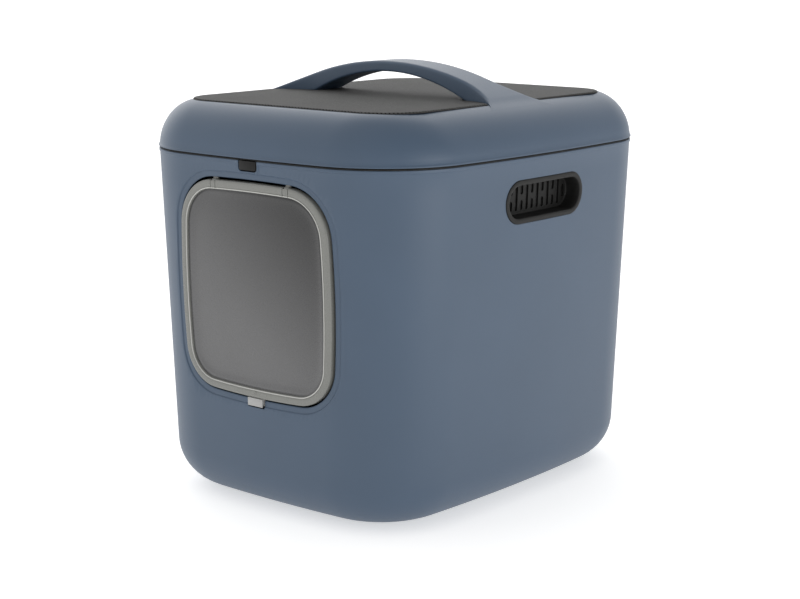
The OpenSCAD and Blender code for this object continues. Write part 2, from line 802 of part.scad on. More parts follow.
// ---------------------------------------------------------------- latch
module lid_latch() {
    color(charcoal) translate([0, latch_y, 0]) difference() {
        union() {
            translate([0, 0, latch_z]) rod_x(latch_barrel_r, 2 * latch_half);
            latch_plate(latch_tab_half, plate_edge_t);
            latch_plate(latch_half, plate_t);
            // Finger that rests against the catch
            block([-finger_half, finger_half], [-plate_front + 1, catch_y - latch_y - 0.3],
                  [latch_tab_low + finger_low, latch_tab_low + finger_low + finger_t]);
        }
        translate([0, 0, latch_z]) {
            rod_x(latch_pin_r + fit, 2 * lug_half);
            // Room for the spring
            block([-spring_room_half, spring_room_half], [0.1 - plate_t, past],
                  [-latch_barrel_r - 0.2, past]);
        }
    }
}
// The latch's plate out to a half width, with its lower corners rounded
module latch_plate(half, t) {
    r = latch_corner_r;
    translate([0, t - plate_front, 0]) rotate([90, 0, 0]) linear_extrude(t) union() {
        translate([-half, latch_tab_low + r]) square([2 * half, latch_plate_top - latch_tab_low - r]);
        translate([r - half, latch_tab_low]) square([2 * (half - r), 2 * r]);
        for (s = [-1, 1]) translate([s * (half - r), latch_tab_low + r]) circle(r = r, $fn = fine);
    }
}
module latch_pin() {
    color(steel) translate([0, latch_y, latch_z]) rod_x(latch_pin_r, 2 * lug_half);
}
// Wire of a given radius swept along points
module wire(points, r, sides = 8) {
    last = len(points) - 1;
    rings = [
        for (i = [0 : last])
            let (t = points[min(i + 1, last)] - points[max(i - 1, 0)], d = t / norm(t))
            let (u0 = cross(d, [0, 0.3, 1]), u = u0 / norm(u0), v = cross(d, u))
            [for (k = [0 : sides - 1]) let (a = 360 * k / sides)
                points[i] + r * (cos(a) * v - sin(a) * u)]
    ];
    ring_solid(rings);
}
module latch_spring() {
    last = 12 * spring_turns;
    coil = [
        for (i = [0 : last]) let (a = 30 * i)
            [spring_half * (2 * i / last - 1), spring_r * cos(a), spring_r * sin(a)]
    ];
    color(steel) translate([0, latch_y, latch_z]) wire(coil, wire_r);
}
module latch_catch() {
    color(charcoal) difference() {
        block([-catch_half, catch_half], [catch_y, catch_y + catch_t], [catch_low, catch_top]);
        catch_screw_places() rod_y(small_screw_r + fit, past);
    }
}
module catch_screws() {
    color(steel) catch_screw_places() screw_y(catch_t, catch_screw_l, small_screw_r, small_head_r);
}

// ---------------------------------------------------------------- rear hinges
module lid_leaf_screw_places() {
    at_hinges() for (s = [-1, 1])
        translate([s * lid_screw_x, -lid_screw_y, lid_z - hinge_z]) children();
}
module lid_hinge_leaf_right() {
    color(charcoal) difference() {
        translate([hinge_x, hinge_y, hinge_z]) difference() {
            union() {
                rod_x(hinge_r, 2 * middle_half);
                block([-middle_half, middle_half], [-10, 0], [seam_gap / 2, seam_gap / 2 + leaf_t]);
                block([-leaf_plate_half, leaf_plate_half], [-lid_screw_y - 4, -10 + eps],
                      [seam_gap / 2, seam_gap / 2 + leaf_t]);
            }
            rod_x(lid_pin_r + fit, 2 * hinge_half);
        }
        lid_leaf_screw_places()
            cylinder(h = past, r = leaf_screw_r + fit, center = true, $fn = fine);
    }
}
module lid_hinge_leaf_left() { mirror([1, 0, 0]) lid_hinge_leaf_right(); }

module lid_leaf_screws() {
    color(steel) lid_leaf_screw_places() {
        translate([0, 0, flange_z - lid_z]) cylinder(h = lid_z - flange_z + leaf_t, r = leaf_screw_r,
                                                     $fn = fine);
        translate([0, 0, leaf_t]) cylinder(h = head_h, r = leaf_head_r, $fn = fine);
    }
}
module tub_hinge_leaf_right() {
    knuckle_in = middle_half + knuckle_gap;
    seat = [leaf_seat_y - hinge_y, leaf_seat_y - hinge_y + leaf_t];
    color(charcoal) difference() {
        translate([hinge_x, hinge_y, hinge_z]) difference() {
            union() {
                block([-hinge_half, hinge_half], seat, [-leaf_low, -hinge_gap_r - slip]);
                both_sides() {
                    translate([(hinge_half + knuckle_in) / 2, 0, 0])
                        rod_x(hinge_r, hinge_half - knuckle_in);
                    block([knuckle_in, hinge_half], seat, [-hinge_gap_r - 1, 0]);
                }
            }
            rod_x(lid_pin_r + fit, 2 * hinge_half + 1);
        }
        leaf_screw_places() rod_y(wall_screw_r + fit, past);
    }
}
module tub_hinge_leaf_left() { mirror([1, 0, 0]) tub_hinge_leaf_right(); }

module lid_hinge_pins() {
    color(steel) at_hinges() rod_x(lid_pin_r, 2 * hinge_half);
}
module tub_leaf_screws() {
    color(steel) leaf_screw_places() screw_y(leaf_t, leaf_screw_l, wall_screw_r, wall_head_r);
}

body_tub();
vent_cup_right();
vent_cup_left();
carbon_filter_right();
carbon_filter_left();
filter_cover_right();
filter_cover_left();
filter_screws();
flap_frame();
flap_panel();
flap_pins();
flap_bracket_right();
flap_bracket_left();
bracket_screws();
flap_lock_slider();
lock_cover();
lid_shell();
lid_liner();
rim_seal();
liner_screws();
top_mat();
lid_latch();
latch_pin();
latch_spring();
latch_catch();
catch_screws();
lid_hinge_leaf_right();
lid_hinge_leaf_left();
tub_hinge_leaf_right();
tub_hinge_leaf_left();
lid_hinge_pins();
lid_leaf_screws();
tub_leaf_screws();
foot_front_left();
foot_front_right();
foot_rear_left();
foot_rear_right();
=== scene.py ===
"""Looks of the hooded litter box: smooth moulded shells, flap, mat and fittings around the CAD frame."""
import math

import bmesh
import bpy
import numpy as np
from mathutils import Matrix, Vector
from mathutils.geometry import delaunay_2d_cdt


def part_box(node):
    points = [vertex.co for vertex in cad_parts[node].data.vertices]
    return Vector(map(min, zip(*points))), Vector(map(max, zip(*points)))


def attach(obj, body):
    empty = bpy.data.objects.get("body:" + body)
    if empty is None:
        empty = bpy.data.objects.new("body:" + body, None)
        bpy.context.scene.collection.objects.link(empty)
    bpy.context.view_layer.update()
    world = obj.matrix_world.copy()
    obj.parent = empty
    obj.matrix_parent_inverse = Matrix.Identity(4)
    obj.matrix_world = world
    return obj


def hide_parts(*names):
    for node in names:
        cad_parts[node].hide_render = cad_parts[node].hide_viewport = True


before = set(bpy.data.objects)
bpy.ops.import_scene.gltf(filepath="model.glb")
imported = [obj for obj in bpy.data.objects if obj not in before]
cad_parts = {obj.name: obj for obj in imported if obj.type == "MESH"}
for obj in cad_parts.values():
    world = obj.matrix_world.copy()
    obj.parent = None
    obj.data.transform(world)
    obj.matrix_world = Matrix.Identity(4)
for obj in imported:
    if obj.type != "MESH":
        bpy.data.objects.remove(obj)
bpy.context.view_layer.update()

MM = 0.001
SLIP = 0.6        # clearance around fittings, as in the frame
PAST = 20         # how far a cutting shape reaches past what it cuts
AHEAD = -6        # where a cut through the front wall starts, ahead of its face
THROUGH = 14      # where a cut through the front wall ends
WELD = 1e-6       # points nearer than this, in metres, are one


def node_box(node):
    """Lowest and highest corner of a CAD node, in millimetres."""
    low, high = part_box(node)
    return np.array(low) / MM, np.array(high) / MM


# ---------------------------------------------------------------- sizes, in millimetres
tub_low, tub_high = node_box("body_tub")
lid_low, lid_high = node_box("lid_shell")
mat_low, mat_high = node_box("top_mat")
cup_low, cup_high = node_box("vent_cup_right")

LID_FLARE = 1.2
rim_w = lid_high[0] - lid_low[0] - 2 * LID_FLARE
rim_d = lid_high[1] - lid_low[1] - 2 * LID_FLARE
base_z = tub_low[2]
rim_z = tub_high[2]
lid_z = lid_low[2]
seam_z = (rim_z + lid_z) / 2
seam_h = seam_z - base_z
RIM_R = 102.4
BASE_R = 97.7
DRAFT_X = 14.3
DRAFT_Y = 9.8
SIDE_BOW = 1875
FRONT_BOW = 1520
BASE_FILLET = 49.2
TUB_WALL = 3

MAT_PROUD = 1.4
mat_top = mat_high[2]
crown_z = mat_top - MAT_PROUD
mat_half_w = mat_high[0]
mat_half_d = mat_high[1]
MAT_R = 50
POCKET_DEPTH = 1.2
DOME_INSET_X = 56
DOME_INSET_Y = 45
LID_WALL = 3.2
CORNER_SHRINK = 1.36
POST_PLACES = ((105, 223), (186, 80))
POST_R = 4.5
POST_TOP = 25
dome_rise = crown_z - seam_z

handle_top = lid_high[2]
HANDLE_T = 11.4
HANDLE_HALF = 22
HANDLE_R = 340
GRIP_R = 228
ROOT_START = 102
ROOT_R = 80
HANDLE_END = 172
HANDLE_STEPS = 150
TOP_EDGE_R = 3.4
LOW_EDGE_R = 2.2
SADDLE_BLEND = (120, 136)    # where the arch hands over to the soft saddle, as distances from the middle
SADDLE_FADE = (144, 171)     # where the saddle runs out into the dome
SINK = (166, 171)        # where the end dips under the dome, by SINK_DEPTH
SINK_DEPTH = 0.12
FLARE = (150, 162)       # where the side spreads at the foot, by FLARE_BY
FLARE_BY = 1.6
UNDER_END = 125          # the underside stays buried in the dome beyond this
UNDER_SINK = 2.2

DOOR_MID_H = 238
DOOR_HALF_W = 108.4
DOOR_HALF_H = 114.8
DOOR_R_TOP = 54
DOOR_R_BOTTOM = 47
DOOR_SIDE_BOW = 1000
DOOR_END_BOW = 1450
RECESS_W = 6.8
RECESS_DEPTH = 1.2
GAP_TOP = 2.8
GAP_BOTTOM = 1.8
GAP_SIDE = 2.6
FLAP_FRONT = -1.5
FLAP_BACK = 6.5
BAND_W = 9.6
REBATE_W = 6.5
PANEL_Y = 1.2
PANEL_T = 2
HINGE_SLOT_X = 51
HINGE_SLOT_W = 7.6
HINGE_SLOT_R = 5
BEAD_IN = 8.6
BEAD_R = 0.55
SKIN_Y = 0.6      # the flap frame's front stays whole before this depth
SEAM_HALF = 3.6   # from the middle of a hinge to the shallow seam on each side of it
SEAM_W = 0.7
SEAM_DEPTH = 0.9
CAP_DROP = 0.8    # how far the band's edge drops between the seams
AXIS_BELOW_TOP = 3.5
LOCK_HALF_W = 10.5
NOTCH_HALF_W = 12
NOTCH_DEPTH = 9
NOTCH_R = 1.2
NUB_UP = 6        # from the flap's bottom edge to the middle of its nub

VENT_MID_H = 326.8
vent_l = cup_high[1] - cup_low[1]
VENT_H = 45.5
BEZEL_W = 5.6
CUP_DEPTH = 18
CUP_WALL = 2
FLANGE_SEAT = -1.5
FLANGE_PROUD = 0.9
SLOT_PITCH = 9.25
SLOT_WIDTH = 4.6
SHORT_SLOT = 10.6
SHORT_SLOT_UP = 8.2
LONG_SLOT = 27
END_SLOT = 14

LATCH_NOTCH_HALF = 13
LATCH_NOTCH_DEPTH = 12
LATCH_NOTCH_R = 4
LATCH_BEAD = 0.9
LATCH_BEAD_RUN = 9    # how far the bead runs along the rim beside the notch
LATCH_BEAD_R = 2.6

HINGE_X = 60
HINGE_HALF = 17.8
HINGE_GAP_R = 4.6
MIDDLE_HALF = 6.4
LEAF_LOW = 27
hinge_y = rim_d / 2 + LID_FLARE
leaf_seat_y = rim_d / 2 - 2


# ---------------------------------------------------------------- outlines
def unit(angle):
    return np.array([math.cos(angle), math.sin(angle)])


def quarter(w, d, r, bow_x, bow_y, steps):
    """A quarter outline from the middle of the side: bowed side, corner arc, bowed end."""
    side, corner, end = steps
    c1, c2 = d - bow_y, w - bow_x
    a, b = bow_y - r, bow_x - r
    gap = math.hypot(c1, c2)
    along = (a * a - b * b + gap * gap) / (2 * gap)
    across = math.sqrt(a * a - along * along)
    px = (along * c2 - across * c1) / gap
    py = c1 - (along * c1 + across * c2) / gap
    a2 = math.atan2(py, px - c2)
    a1 = math.atan2(py - c1, px)
    points = [np.array([c2, 0]) + bow_x * unit(a2 * i / side) for i in range(side)]
    points += [np.array([px, py]) + r * unit(a2 + (a1 - a2) * i / corner) for i in range(corner)]
    points += [np.array([0, c1]) + bow_y * unit(a1 + (math.pi / 2 - a1) * i / end) for i in range(end + 1)]
    return np.array(points)


def mirrored(upper, lower):
    """A closed outline from its upper right and lower right quarters."""
    flip_x, flip_y = np.array([-1, 1]), np.array([1, -1])
    return np.concatenate([upper[:-1], (upper * flip_x)[:0:-1], -lower[:-1], (lower * flip_y)[:0:-1]])


PLAN_STEPS = (16, 22, 16)


def level(outline, z):
    return np.column_stack([outline, np.full(len(outline), z)])


def plan_ring(w, d, r, z):
    q = quarter(w, d, r, SIDE_BOW, FRONT_BOW, PLAN_STEPS)
    return level(mirrored(q, q), z)


def lean_share(h):
    return (seam_h - h) / seam_h


def wall_w(h):
    return rim_w / 2 - DRAFT_X * lean_share(h)


def wall_d(h):
    return rim_d / 2 - DRAFT_Y * lean_share(h)


def wall_r(h):
    return RIM_R + (BASE_R - RIM_R) * lean_share(h)


def tub_ring(h, t):
    return plan_ring(wall_w(h) - t, wall_d(h) - t, wall_r(h) - t, base_z + h)


def front_y(x, z):
    """Y of the tub's outer face at x and height z."""
    h = z - base_z
    w, d, r = wall_w(h), wall_d(h), wall_r(h)
    corner = quarter(w, d, r, SIDE_BOW, FRONT_BOW, (1, 1, 1))
    tangent = corner[2]
    centre = np.array([0, d - FRONT_BOW])
    corner_centre = tangent - (tangent - centre) / FRONT_BOW * r
    if abs(x) <= tangent[0]:
        return -(centre[1] + math.sqrt(FRONT_BOW ** 2 - x * x))
    return -(corner_centre[1] + math.sqrt(r * r - (abs(x) - corner_centre[0]) ** 2))


def arc(low, high, steps):
    return [low + (high - low) * i / steps for i in range(steps + 1)]


def full_turn(steps):
    """Angles evenly round a circle, without the last one that would repeat the first."""
    return arc(0, 2 * math.pi * (steps - 1) / steps, steps - 1)


def rounded_path(corners, radii, steps=8):
    """A polyline in x and z whose inner corners are rounded to the given radii."""
    points = [np.array(corners[0], float)]
    for before, here, after, r in zip(corners, corners[1:], corners[2:], radii):
        before, here, after = (np.array(p, float) for p in (before, here, after))
        u = (before - here) / np.linalg.norm(before - here)
        v = (after - here) / np.linalg.norm(after - here)
        half = math.acos(np.clip(u @ v, -1, 1)) / 2
        centre = here + (u + v) / np.linalg.norm(u + v) * r / math.sin(half)
        start, end = here + u * r / math.tan(half) - centre, here + v * r / math.tan(half) - centre
        turn = math.pi - 2 * half
        side = math.copysign(1, start[0] * end[1] - start[1] * end[0])
        for i in range(steps + 1):
            a = side * turn * i / steps
            c, s = math.cos(a), math.sin(a)
            points.append(centre + np.array([start[0] * c - start[1] * s, start[0] * s + start[1] * c]))
    points.append(np.array(corners[-1], float))
    return np.array(points)


def stadium(length, height, steps=20):
    """A closed outline with round ends, centred on the origin."""
    r, run = height / 2, (length - height) / 2
    right = [np.array([run, 0]) + r * unit(a) for a in arc(-math.pi / 2, math.pi / 2, steps)]
    return np.array(right + [-p for p in right])


# ---------------------------------------------------------------- meshes
def new_object(name, vertices, faces):
    mesh = bpy.data.meshes.new(name)
    mesh.from_pydata((np.asarray(vertices, float) * MM).tolist(), [], faces)
    made = bpy.data.objects.new(name, mesh)
    bpy.context.scene.collection.objects.link(made)
    tidy(made)
    return made


def tidy(piece):
    """Welds the mesh and points its faces outwards."""
    work = bmesh.new()
    work.from_mesh(piece.data)
    bmesh.ops.remove_doubles(work, verts=work.verts, dist=WELD)
    bmesh.ops.dissolve_degenerate(work, dist=WELD, edges=work.edges)
    bmesh.ops.recalc_face_normals(work, faces=work.faces)
    work.to_mesh(piece.data)
    work.free()


def loft(name, rings, looped=False):
    """A closed solid through rings of equal length: capped at both ends, or joined end to start."""
    n, count = len(rings[0]), len(rings)
    faces = []
    for k in range(count if looped else count - 1):
        low, high = k * n, ((k + 1) % count) * n
        faces += [(low + i, high + i, high + (i + 1) % n, low + (i + 1) % n) for i in range(n)]
    if not looped:
        faces += [tuple(range(n)), tuple(range(count * n - 1, (count - 1) * n - 1, -1))]
    return new_object(name, np.concatenate(rings), faces)


def combine(target, tool, operation):
    """Joins tool to target, or carves it out, and removes the tool."""
    modifier = target.modifiers.new("combine", "BOOLEAN")
    modifier.operation = operation
    modifier.solver = "EXACT"
    modifier.object = tool
    graph = bpy.context.evaluated_depsgraph_get()
    made = bpy.data.meshes.new_from_object(target.evaluated_get(graph))
    target.modifiers.clear()
    old = target.data
    target.data = made
    bpy.data.meshes.remove(old)
    bpy.data.objects.remove(tool)


def carve(target, *tools):
    for tool in tools:
        combine(target, tool, "DIFFERENCE")


def join(target, *tools):
    for tool in tools:
        combine(target, tool, "UNION")


def cuboid(x, y, z):
    """A cutting block between the two values given for each axis."""
    corners = [(x[0], y[0]), (x[1], y[0]), (x[1], y[1]), (x[0], y[1])]
    return loft("cuboid", [np.array([(a, b, h) for a, b in corners]) for h in z])


def rod(centre, radius, axis, low, high, steps=48):
    """A cylinder round a main axis: 0, 1 or 2 for X, Y or Z."""
    others = [i for i in range(3) if i != axis]
    rings = []
    for along in (low, high):
        ring = np.zeros((steps, 3))
        for i, a in enumerate(full_turn(steps)):
            ring[i, others] = radius * unit(a)
            ring[i, axis] = along
        rings.append(ring + np.array(centre, float))
    return loft("rod", rings)


def shade(piece, sharp=32):
    """Smooth shading that stops at edges sharper than the given angle, in degrees."""
    tidy(piece)
    work = bmesh.new()
    work.from_mesh(piece.data)
    for face in work.faces:
        face.smooth = True
    for edge in work.edges:
        edge.smooth = len(edge.link_faces) == 2 and edge.calc_face_angle(0) < math.radians(sharp)
    work.to_mesh(piece.data)
    work.free()


def settle(piece, body, slot_name, material, *nodes, sharp=32):
    """Finishes a piece: shading, material, the body it rides on and the CAD nodes it stands for."""
    shade(piece, sharp)
    piece.data.materials.clear()
    piece.data.materials.append(material)
    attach(piece, body)
    if nodes:
        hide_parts(*nodes)
    return piece


# ---------------------------------------------------------------- materials
def socket(node, name, value):
    node.inputs[name].default_value = value


def shader_of(name):
    material = bpy.data.materials.new(name)
    material.use_nodes = True
    tree = material.node_tree
    return material, tree.nodes, tree.links, tree.nodes["Principled BSDF"]


def noise(nodes, links, place, scale, detail=3.0, roughness=0.5):
    made = nodes.new("ShaderNodeTexNoise")
    links.new(place.outputs["Object"], made.inputs["Vector"])
    socket(made, "Scale", scale)
    socket(made, "Detail", detail)
    socket(made, "Roughness", roughness)
    return made


def cells(nodes, links, place, scale):
    made = nodes.new("ShaderNodeTexVoronoi")
    links.new(place.outputs["Object"], made.inputs["Vector"])
    socket(made, "Scale", scale)
    return made.outputs["Distance"]


def ranged(nodes, links, source, start, end, low, high, soft=False):
    """Maps start to end onto low to high, with eased ends if soft."""
    made = nodes.new("ShaderNodeMapRange")
    if soft:
        made.interpolation_type = "SMOOTHSTEP"
    links.new(source, made.inputs["Value"])
    for name, value in (("From Min", start), ("From Max", end), ("To Min", low), ("To Max", high)):
        socket(made, name, value)
    return made.outputs["Result"]


def spread(nodes, links, source, low, high):
    """Maps the middle of a noise onto low to high."""
    return ranged(nodes, links, source, 0.3, 0.7, low, high)


def along_way(nodes, links, source, direction):
    """How far a vector reaches along a direction."""
    made = nodes.new("ShaderNodeVectorMath")
    made.operation = "DOT_PRODUCT"
    links.new(source, made.inputs[0])
    made.inputs[1].default_value = Vector(direction).normalized()
    return made.outputs["Value"]


def raise_grain(nodes, links, shader, height, strength, depth):
    """Fine relief from a height, with its depth in millimetres."""
    bump = nodes.new("ShaderNodeBump")
    links.new(height, bump.inputs["Height"])
    socket(bump, "Strength", strength)
    socket(bump, "Distance", depth * MM)
    links.new(bump.outputs["Normal"], shader.inputs["Normal"])


def two_tone(nodes, links, source, dark, light):
    ramp = nodes.new("ShaderNodeValToRGB")
    links.new(source, ramp.inputs["Fac"])
    ramp.color_ramp.elements[0].position = 0.32
    ramp.color_ramp.elements[1].position = 0.68
    ramp.color_ramp.elements[0].color = (*dark, 1)
    ramp.color_ramp.elements[1].color = (*light, 1)
    return ramp.outputs["Color"]


def shades(colour, share):
    return tuple(c * (1 - share) for c in colour), tuple(min(1, c * (1 + share)) for c in colour)


def painted_reflection_fade(nodes, links, place, colour, direction, start, end, share):
    """Darkens a colour along a direction: painted shade that stands in for the darker reflection across a
    glossy smoked sheet.
    """
    along = along_way(nodes, links, place.outputs["Object"], direction)
    scaled = nodes.new("ShaderNodeVectorMath")
    scaled.operation = "SCALE"
    links.new(colour, scaled.inputs[0])
    links.new(ranged(nodes, links, along, start, end, 1.0, share, soft=True), scaled.inputs["Scale"])
    return scaled.outputs["Vector"]


def moulded(name, colour, rough, grain=1500, depth=0.02, tone=0.03, specular=0.5, rough_by=0.05, fade=None):
    """Moulded plastic: a faint cloudiness, a fine spark-eroded grain and uneven gloss."""
    material, nodes, links, shader = shader_of(name)
    place = nodes.new("ShaderNodeTexCoord")
    cloud = noise(nodes, links, place, 9, 4)
    fine = noise(nodes, links, place, grain, 2)
    speck = cells(nodes, links, place, grain * 0.6)
    toned = two_tone(nodes, links, cloud.outputs["Fac"], *shades(colour, tone))
    # painted shade: darkens the colour along a direction, for a reflection
    if fade:
        toned = painted_reflection_fade(nodes, links, place, toned, *fade)
    links.new(toned, shader.inputs["Base Color"])
    links.new(spread(nodes, links, fine.outputs["Fac"], rough - rough_by, rough + rough_by),
              shader.inputs["Roughness"])
    height = nodes.new("ShaderNodeMath")
    height.operation = "ADD"
    links.new(fine.outputs["Fac"], height.inputs[0])
    links.new(speck, height.inputs[1])
    raise_grain(nodes, links, shader, height.outputs["Value"], 0.35, depth)
    socket(shader, "Specular IOR Level", specular)
    return material


def knurled(name, colour, painted_shade_colour):
    """Mat rubber: a dimpled top, and painted shade on steep faces, which turn near black by their normal for
    the shadowed edge and the gaps between the teeth.
    """
    material, nodes, links, shader = shader_of(name)
    place = nodes.new("ShaderNodeTexCoord")
    cloud = noise(nodes, links, place, 14, 4)
    fine = noise(nodes, links, place, 700, 3)
    top = two_tone(nodes, links, cloud.outputs["Fac"], *shades(colour, 0.05))
    surface = nodes.new("ShaderNodeNewGeometry")
    upright = nodes.new("ShaderNodeSeparateXYZ")
    links.new(surface.outputs["True Normal"], upright.inputs["Vector"])
    facing = ranged(nodes, links, upright.outputs["Z"], 0.32, 0.52, 0.0, 1.0)
    blend = nodes.new("ShaderNodeMix")
    blend.data_type = "RGBA"
    links.new(facing, blend.inputs["Factor"])
    links.new(top, blend.inputs["B"])
    blend.inputs["A"].default_value = (*painted_shade_colour, 1)
    links.new(blend.outputs["Result"], shader.inputs["Base Color"])
    links.new(spread(nodes, links, fine.outputs["Fac"], 0.62, 0.78), shader.inputs["Roughness"])
    raise_grain(nodes, links, shader, cells(nodes, links, place, 620), 0.6, 0.25)
    socket(shader, "Specular IOR Level", 0.13)
    return material


def foam(name, colour):
    """Open-celled carbon foam."""
    material, nodes, links, shader = shader_of(name)
    place = nodes.new("ShaderNodeTexCoord")
    cell = cells(nodes, links, place, 520)
    links.new(two_tone(nodes, links, cell, tuple(c * 3 for c in colour), colour), shader.inputs["Base Color"])
    fine = noise(nodes, links, place, 1200, 2)
    links.new(spread(nodes, links, fine.outputs["Fac"], 0.8, 0.95), shader.inputs["Roughness"])
    raise_grain(nodes, links, shader, cell, 1.0, 0.8)
    return material


def brushed(name, colour):
    """Plated steel: fine turning marks over a soft sheen."""
    material, nodes, links, shader = shader_of(name)
    place = nodes.new("ShaderNodeTexCoord")
    marks = noise(nodes, links, place, 2600, 4, 0.7)
    toned = two_tone(nodes, links, marks.outputs["Fac"], *shades(colour, 0.12))
    links.new(toned, shader.inputs["Base Color"])
    links.new(spread(nodes, links, marks.outputs["Fac"], 0.26, 0.42), shader.inputs["Roughness"])
    socket(shader, "Metallic", 1.0)
    raise_grain(nodes, links, shader, marks.outputs["Fac"], 0.3, 0.02)
    return material


# painted shade on the smoked panel, for its darker reflection: direction, where the fade starts and ends
# along it in metres, and the share it reaches
SMOKE_PAINTED_SHADE = ((0.6, 0, 0.8), 0.12, 0.33, 0.12)

BLUE = moulded("blue_plastic", (0.053, 0.085, 0.133), 0.46)
CHARCOAL = moulded("charcoal_plastic", (0.011, 0.011, 0.0105), 0.48, grain=1300, depth=0.04, specular=0.2)
TRIM = moulded("warm_grey_plastic", (0.19, 0.192, 0.178), 0.28, depth=0.01)
# painted highlight: the bead is the band's plastic, coloured far lighter so that it shows as a bright line
PAINTED_HIGHLIGHT = moulded("bead_painted_highlight", (0.5, 0.5, 0.475), 0.16, depth=0.004, tone=0.02, specular=0.7)
SMOKE = moulded("smoked_plastic", (0.118, 0.118, 0.12), 0.28, depth=0.008, tone=0.04, fade=SMOKE_PAINTED_SHADE)
WHITE = moulded("white_plastic", (0.36, 0.36, 0.355), 0.38, depth=0.01, tone=0.02)
RUBBER = moulded("black_rubber", (0.02, 0.02, 0.02), 0.7, grain=900, depth=0.05)
# painted shade: the second colour darkens the mat's steep faces, its edge and the gaps between its teeth
MAT = knurled("mat_rubber", (0.052, 0.052, 0.051), (0.008, 0.008, 0.008))
FOAM = foam("carbon_foam", (0.006, 0.006, 0.006))
STEEL = brushed("plated_steel", (0.6, 0.6, 0.62))


# ---------------------------------------------------------------- tub
def tub_profile():
    """The tub's section, as heights above the underside and insets, from the outer base to the inner one."""
    rim_h = rim_z - base_z
    bead = [(3.7, 0), (3.55, -0.05), (3.4, -0.35), (3.2, -0.6), (2.9, -0.7),
            (0.6, -0.7), (0.2, -0.58), (0, -0.25), (0, 2.4), (0.2, 2.85), (0.6, TUB_WALL)]
    quarter_turn = arc(math.pi / 2, 0, 14)
    outer = [(BASE_FILLET * (1 - math.sin(a)), BASE_FILLET * (1 - math.cos(a))) for a in quarter_turn]
    wall = arc(BASE_FILLET, rim_h - bead[0][0], 16)[1:-1]
    r = BASE_FILLET - TUB_WALL
    inner = [(BASE_FILLET - r * math.sin(a), BASE_FILLET - r * math.cos(a)) for a in reversed(quarter_turn)]
    return (outer + [(h, 0) for h in wall] + [(rim_h - drop, t) for drop, t in bead]
            + [(h, TUB_WALL) for h in reversed(wall)] + inner)


door_lean = math.atan(DRAFT_Y / seam_h)
door_y = -wall_d(DOOR_MID_H)
door_z = base_z + DOOR_MID_H
DOOR_STEPS = (12, 16, 12)


def door_outline(out):
    """The door opening's outline in x and z, drawn out by a distance."""
    quarters = [quarter(DOOR_HALF_W + out, DOOR_HALF_H + out, r + out,
                        DOOR_SIDE_BOW, DOOR_END_BOW, DOOR_STEPS) for r in (DOOR_R_TOP, DOOR_R_BOTTOM)]
    return mirrored(*quarters)


def on_front(outline, depth):
    """A ring on the tub's front face, or a depth behind it, from an outline about the door's middle."""
    ring = []
    for x, z in outline:
        height = door_z + z * math.cos(door_lean)
        ring.append((x, front_y(x, height) + depth, height))
    return np.array(ring)


def door_cutter():
    steps = [(RECESS_W + 0.7, AHEAD), (RECESS_W + 0.7, 0), (RECESS_W + 0.35, 0.12), (RECESS_W, 0.4),
             (RECESS_W - 0.3, 0.85), (RECESS_W - 0.8, RECESS_DEPTH), (1.3, RECESS_DEPTH),
             (0.6, RECESS_DEPTH + 0.2), (0.15, RECESS_DEPTH + 0.6), (0, RECESS_DEPTH + 1.2), (0, THROUGH)]
    return loft("door_cutter", [on_front(door_outline(out), depth) for out, depth in steps])


def sill_cutter():
    low = -DOOR_HALF_H - NOTCH_DEPTH
    top = low + PAST
    corners = [(-NOTCH_HALF_W, top), (-NOTCH_HALF_W, low), (NOTCH_HALF_W, low), (NOTCH_HALF_W, top)]
    path = rounded_path(corners, [NOTCH_R, NOTCH_R])
    return loft("sill_cutter", [on_front(path, depth) for depth in (AHEAD, THROUGH)])


def latch_path(out, top):
    """The latch notch's outline in x and height, drawn out by a distance."""
    half, low = LATCH_NOTCH_HALF + out, seam_z - LATCH_NOTCH_DEPTH - out
    r = LATCH_NOTCH_R + out
    return [(-half, top), (-half, low), (half, low), (half, top)], [r, r]


def latch_cutter():
    path = rounded_path(*latch_path(0, rim_z + 8))
    rings = [np.array([(x, front_y(x, min(z, rim_z)) + depth, z) for x, z in path]) for depth in (AHEAD, 8)]
    return loft("latch_cutter", rings)


def latch_bead():
    """A raised bead along the latch notch that runs out into the rim's bead at both ends."""
    sides, radii = latch_path(LATCH_BEAD, rim_z - 0.9)
    far = sides[-1][0] + LATCH_BEAD_RUN
    path = rounded_path([(-far, sides[0][1]), *sides, (far, sides[0][1])],
                        [LATCH_BEAD_R, *radii, LATCH_BEAD_R])
    section = [(-1.8, -0.8), (-1.6, 0.02), (-1.2, 0.2), (-0.95, 0.5), (-0.6, 0.7), (0, 0.75),
               (0.6, 0.7), (0.95, 0.5), (1.2, 0.2), (1.6, 0.02), (1.8, -0.8)]
    tangents = np.gradient(path, axis=0)
    tangents /= np.linalg.norm(tangents, axis=1)[:, None]
    rings = []
    for (x, z), (tx, tz) in zip(path, tangents):
        rings.append([(x - tz * u, front_y(x, z) - v, min(z + tx * u, rim_z - 0.02)) for u, v in section])
    return loft("latch_bead", [np.array(ring) for ring in rings])


side_lean = math.atan(DRAFT_X / seam_h)


def at_vent(outline, out, side=1, bowed=True):
    """A ring in a vent's frame of reference: an outline along and up the side wall, a distance out of it."""
    ring = []
    for along, up in outline:
        z = out - (along * along / (2 * SIDE_BOW) if bowed else 0)
        ring.append((side * (wall_w(VENT_MID_H) + z * math.cos(side_lean) + up * math.sin(side_lean)), along,
                     base_z + VENT_MID_H - z * math.sin(side_lean) + up * math.cos(side_lean)))
    return np.array(ring)


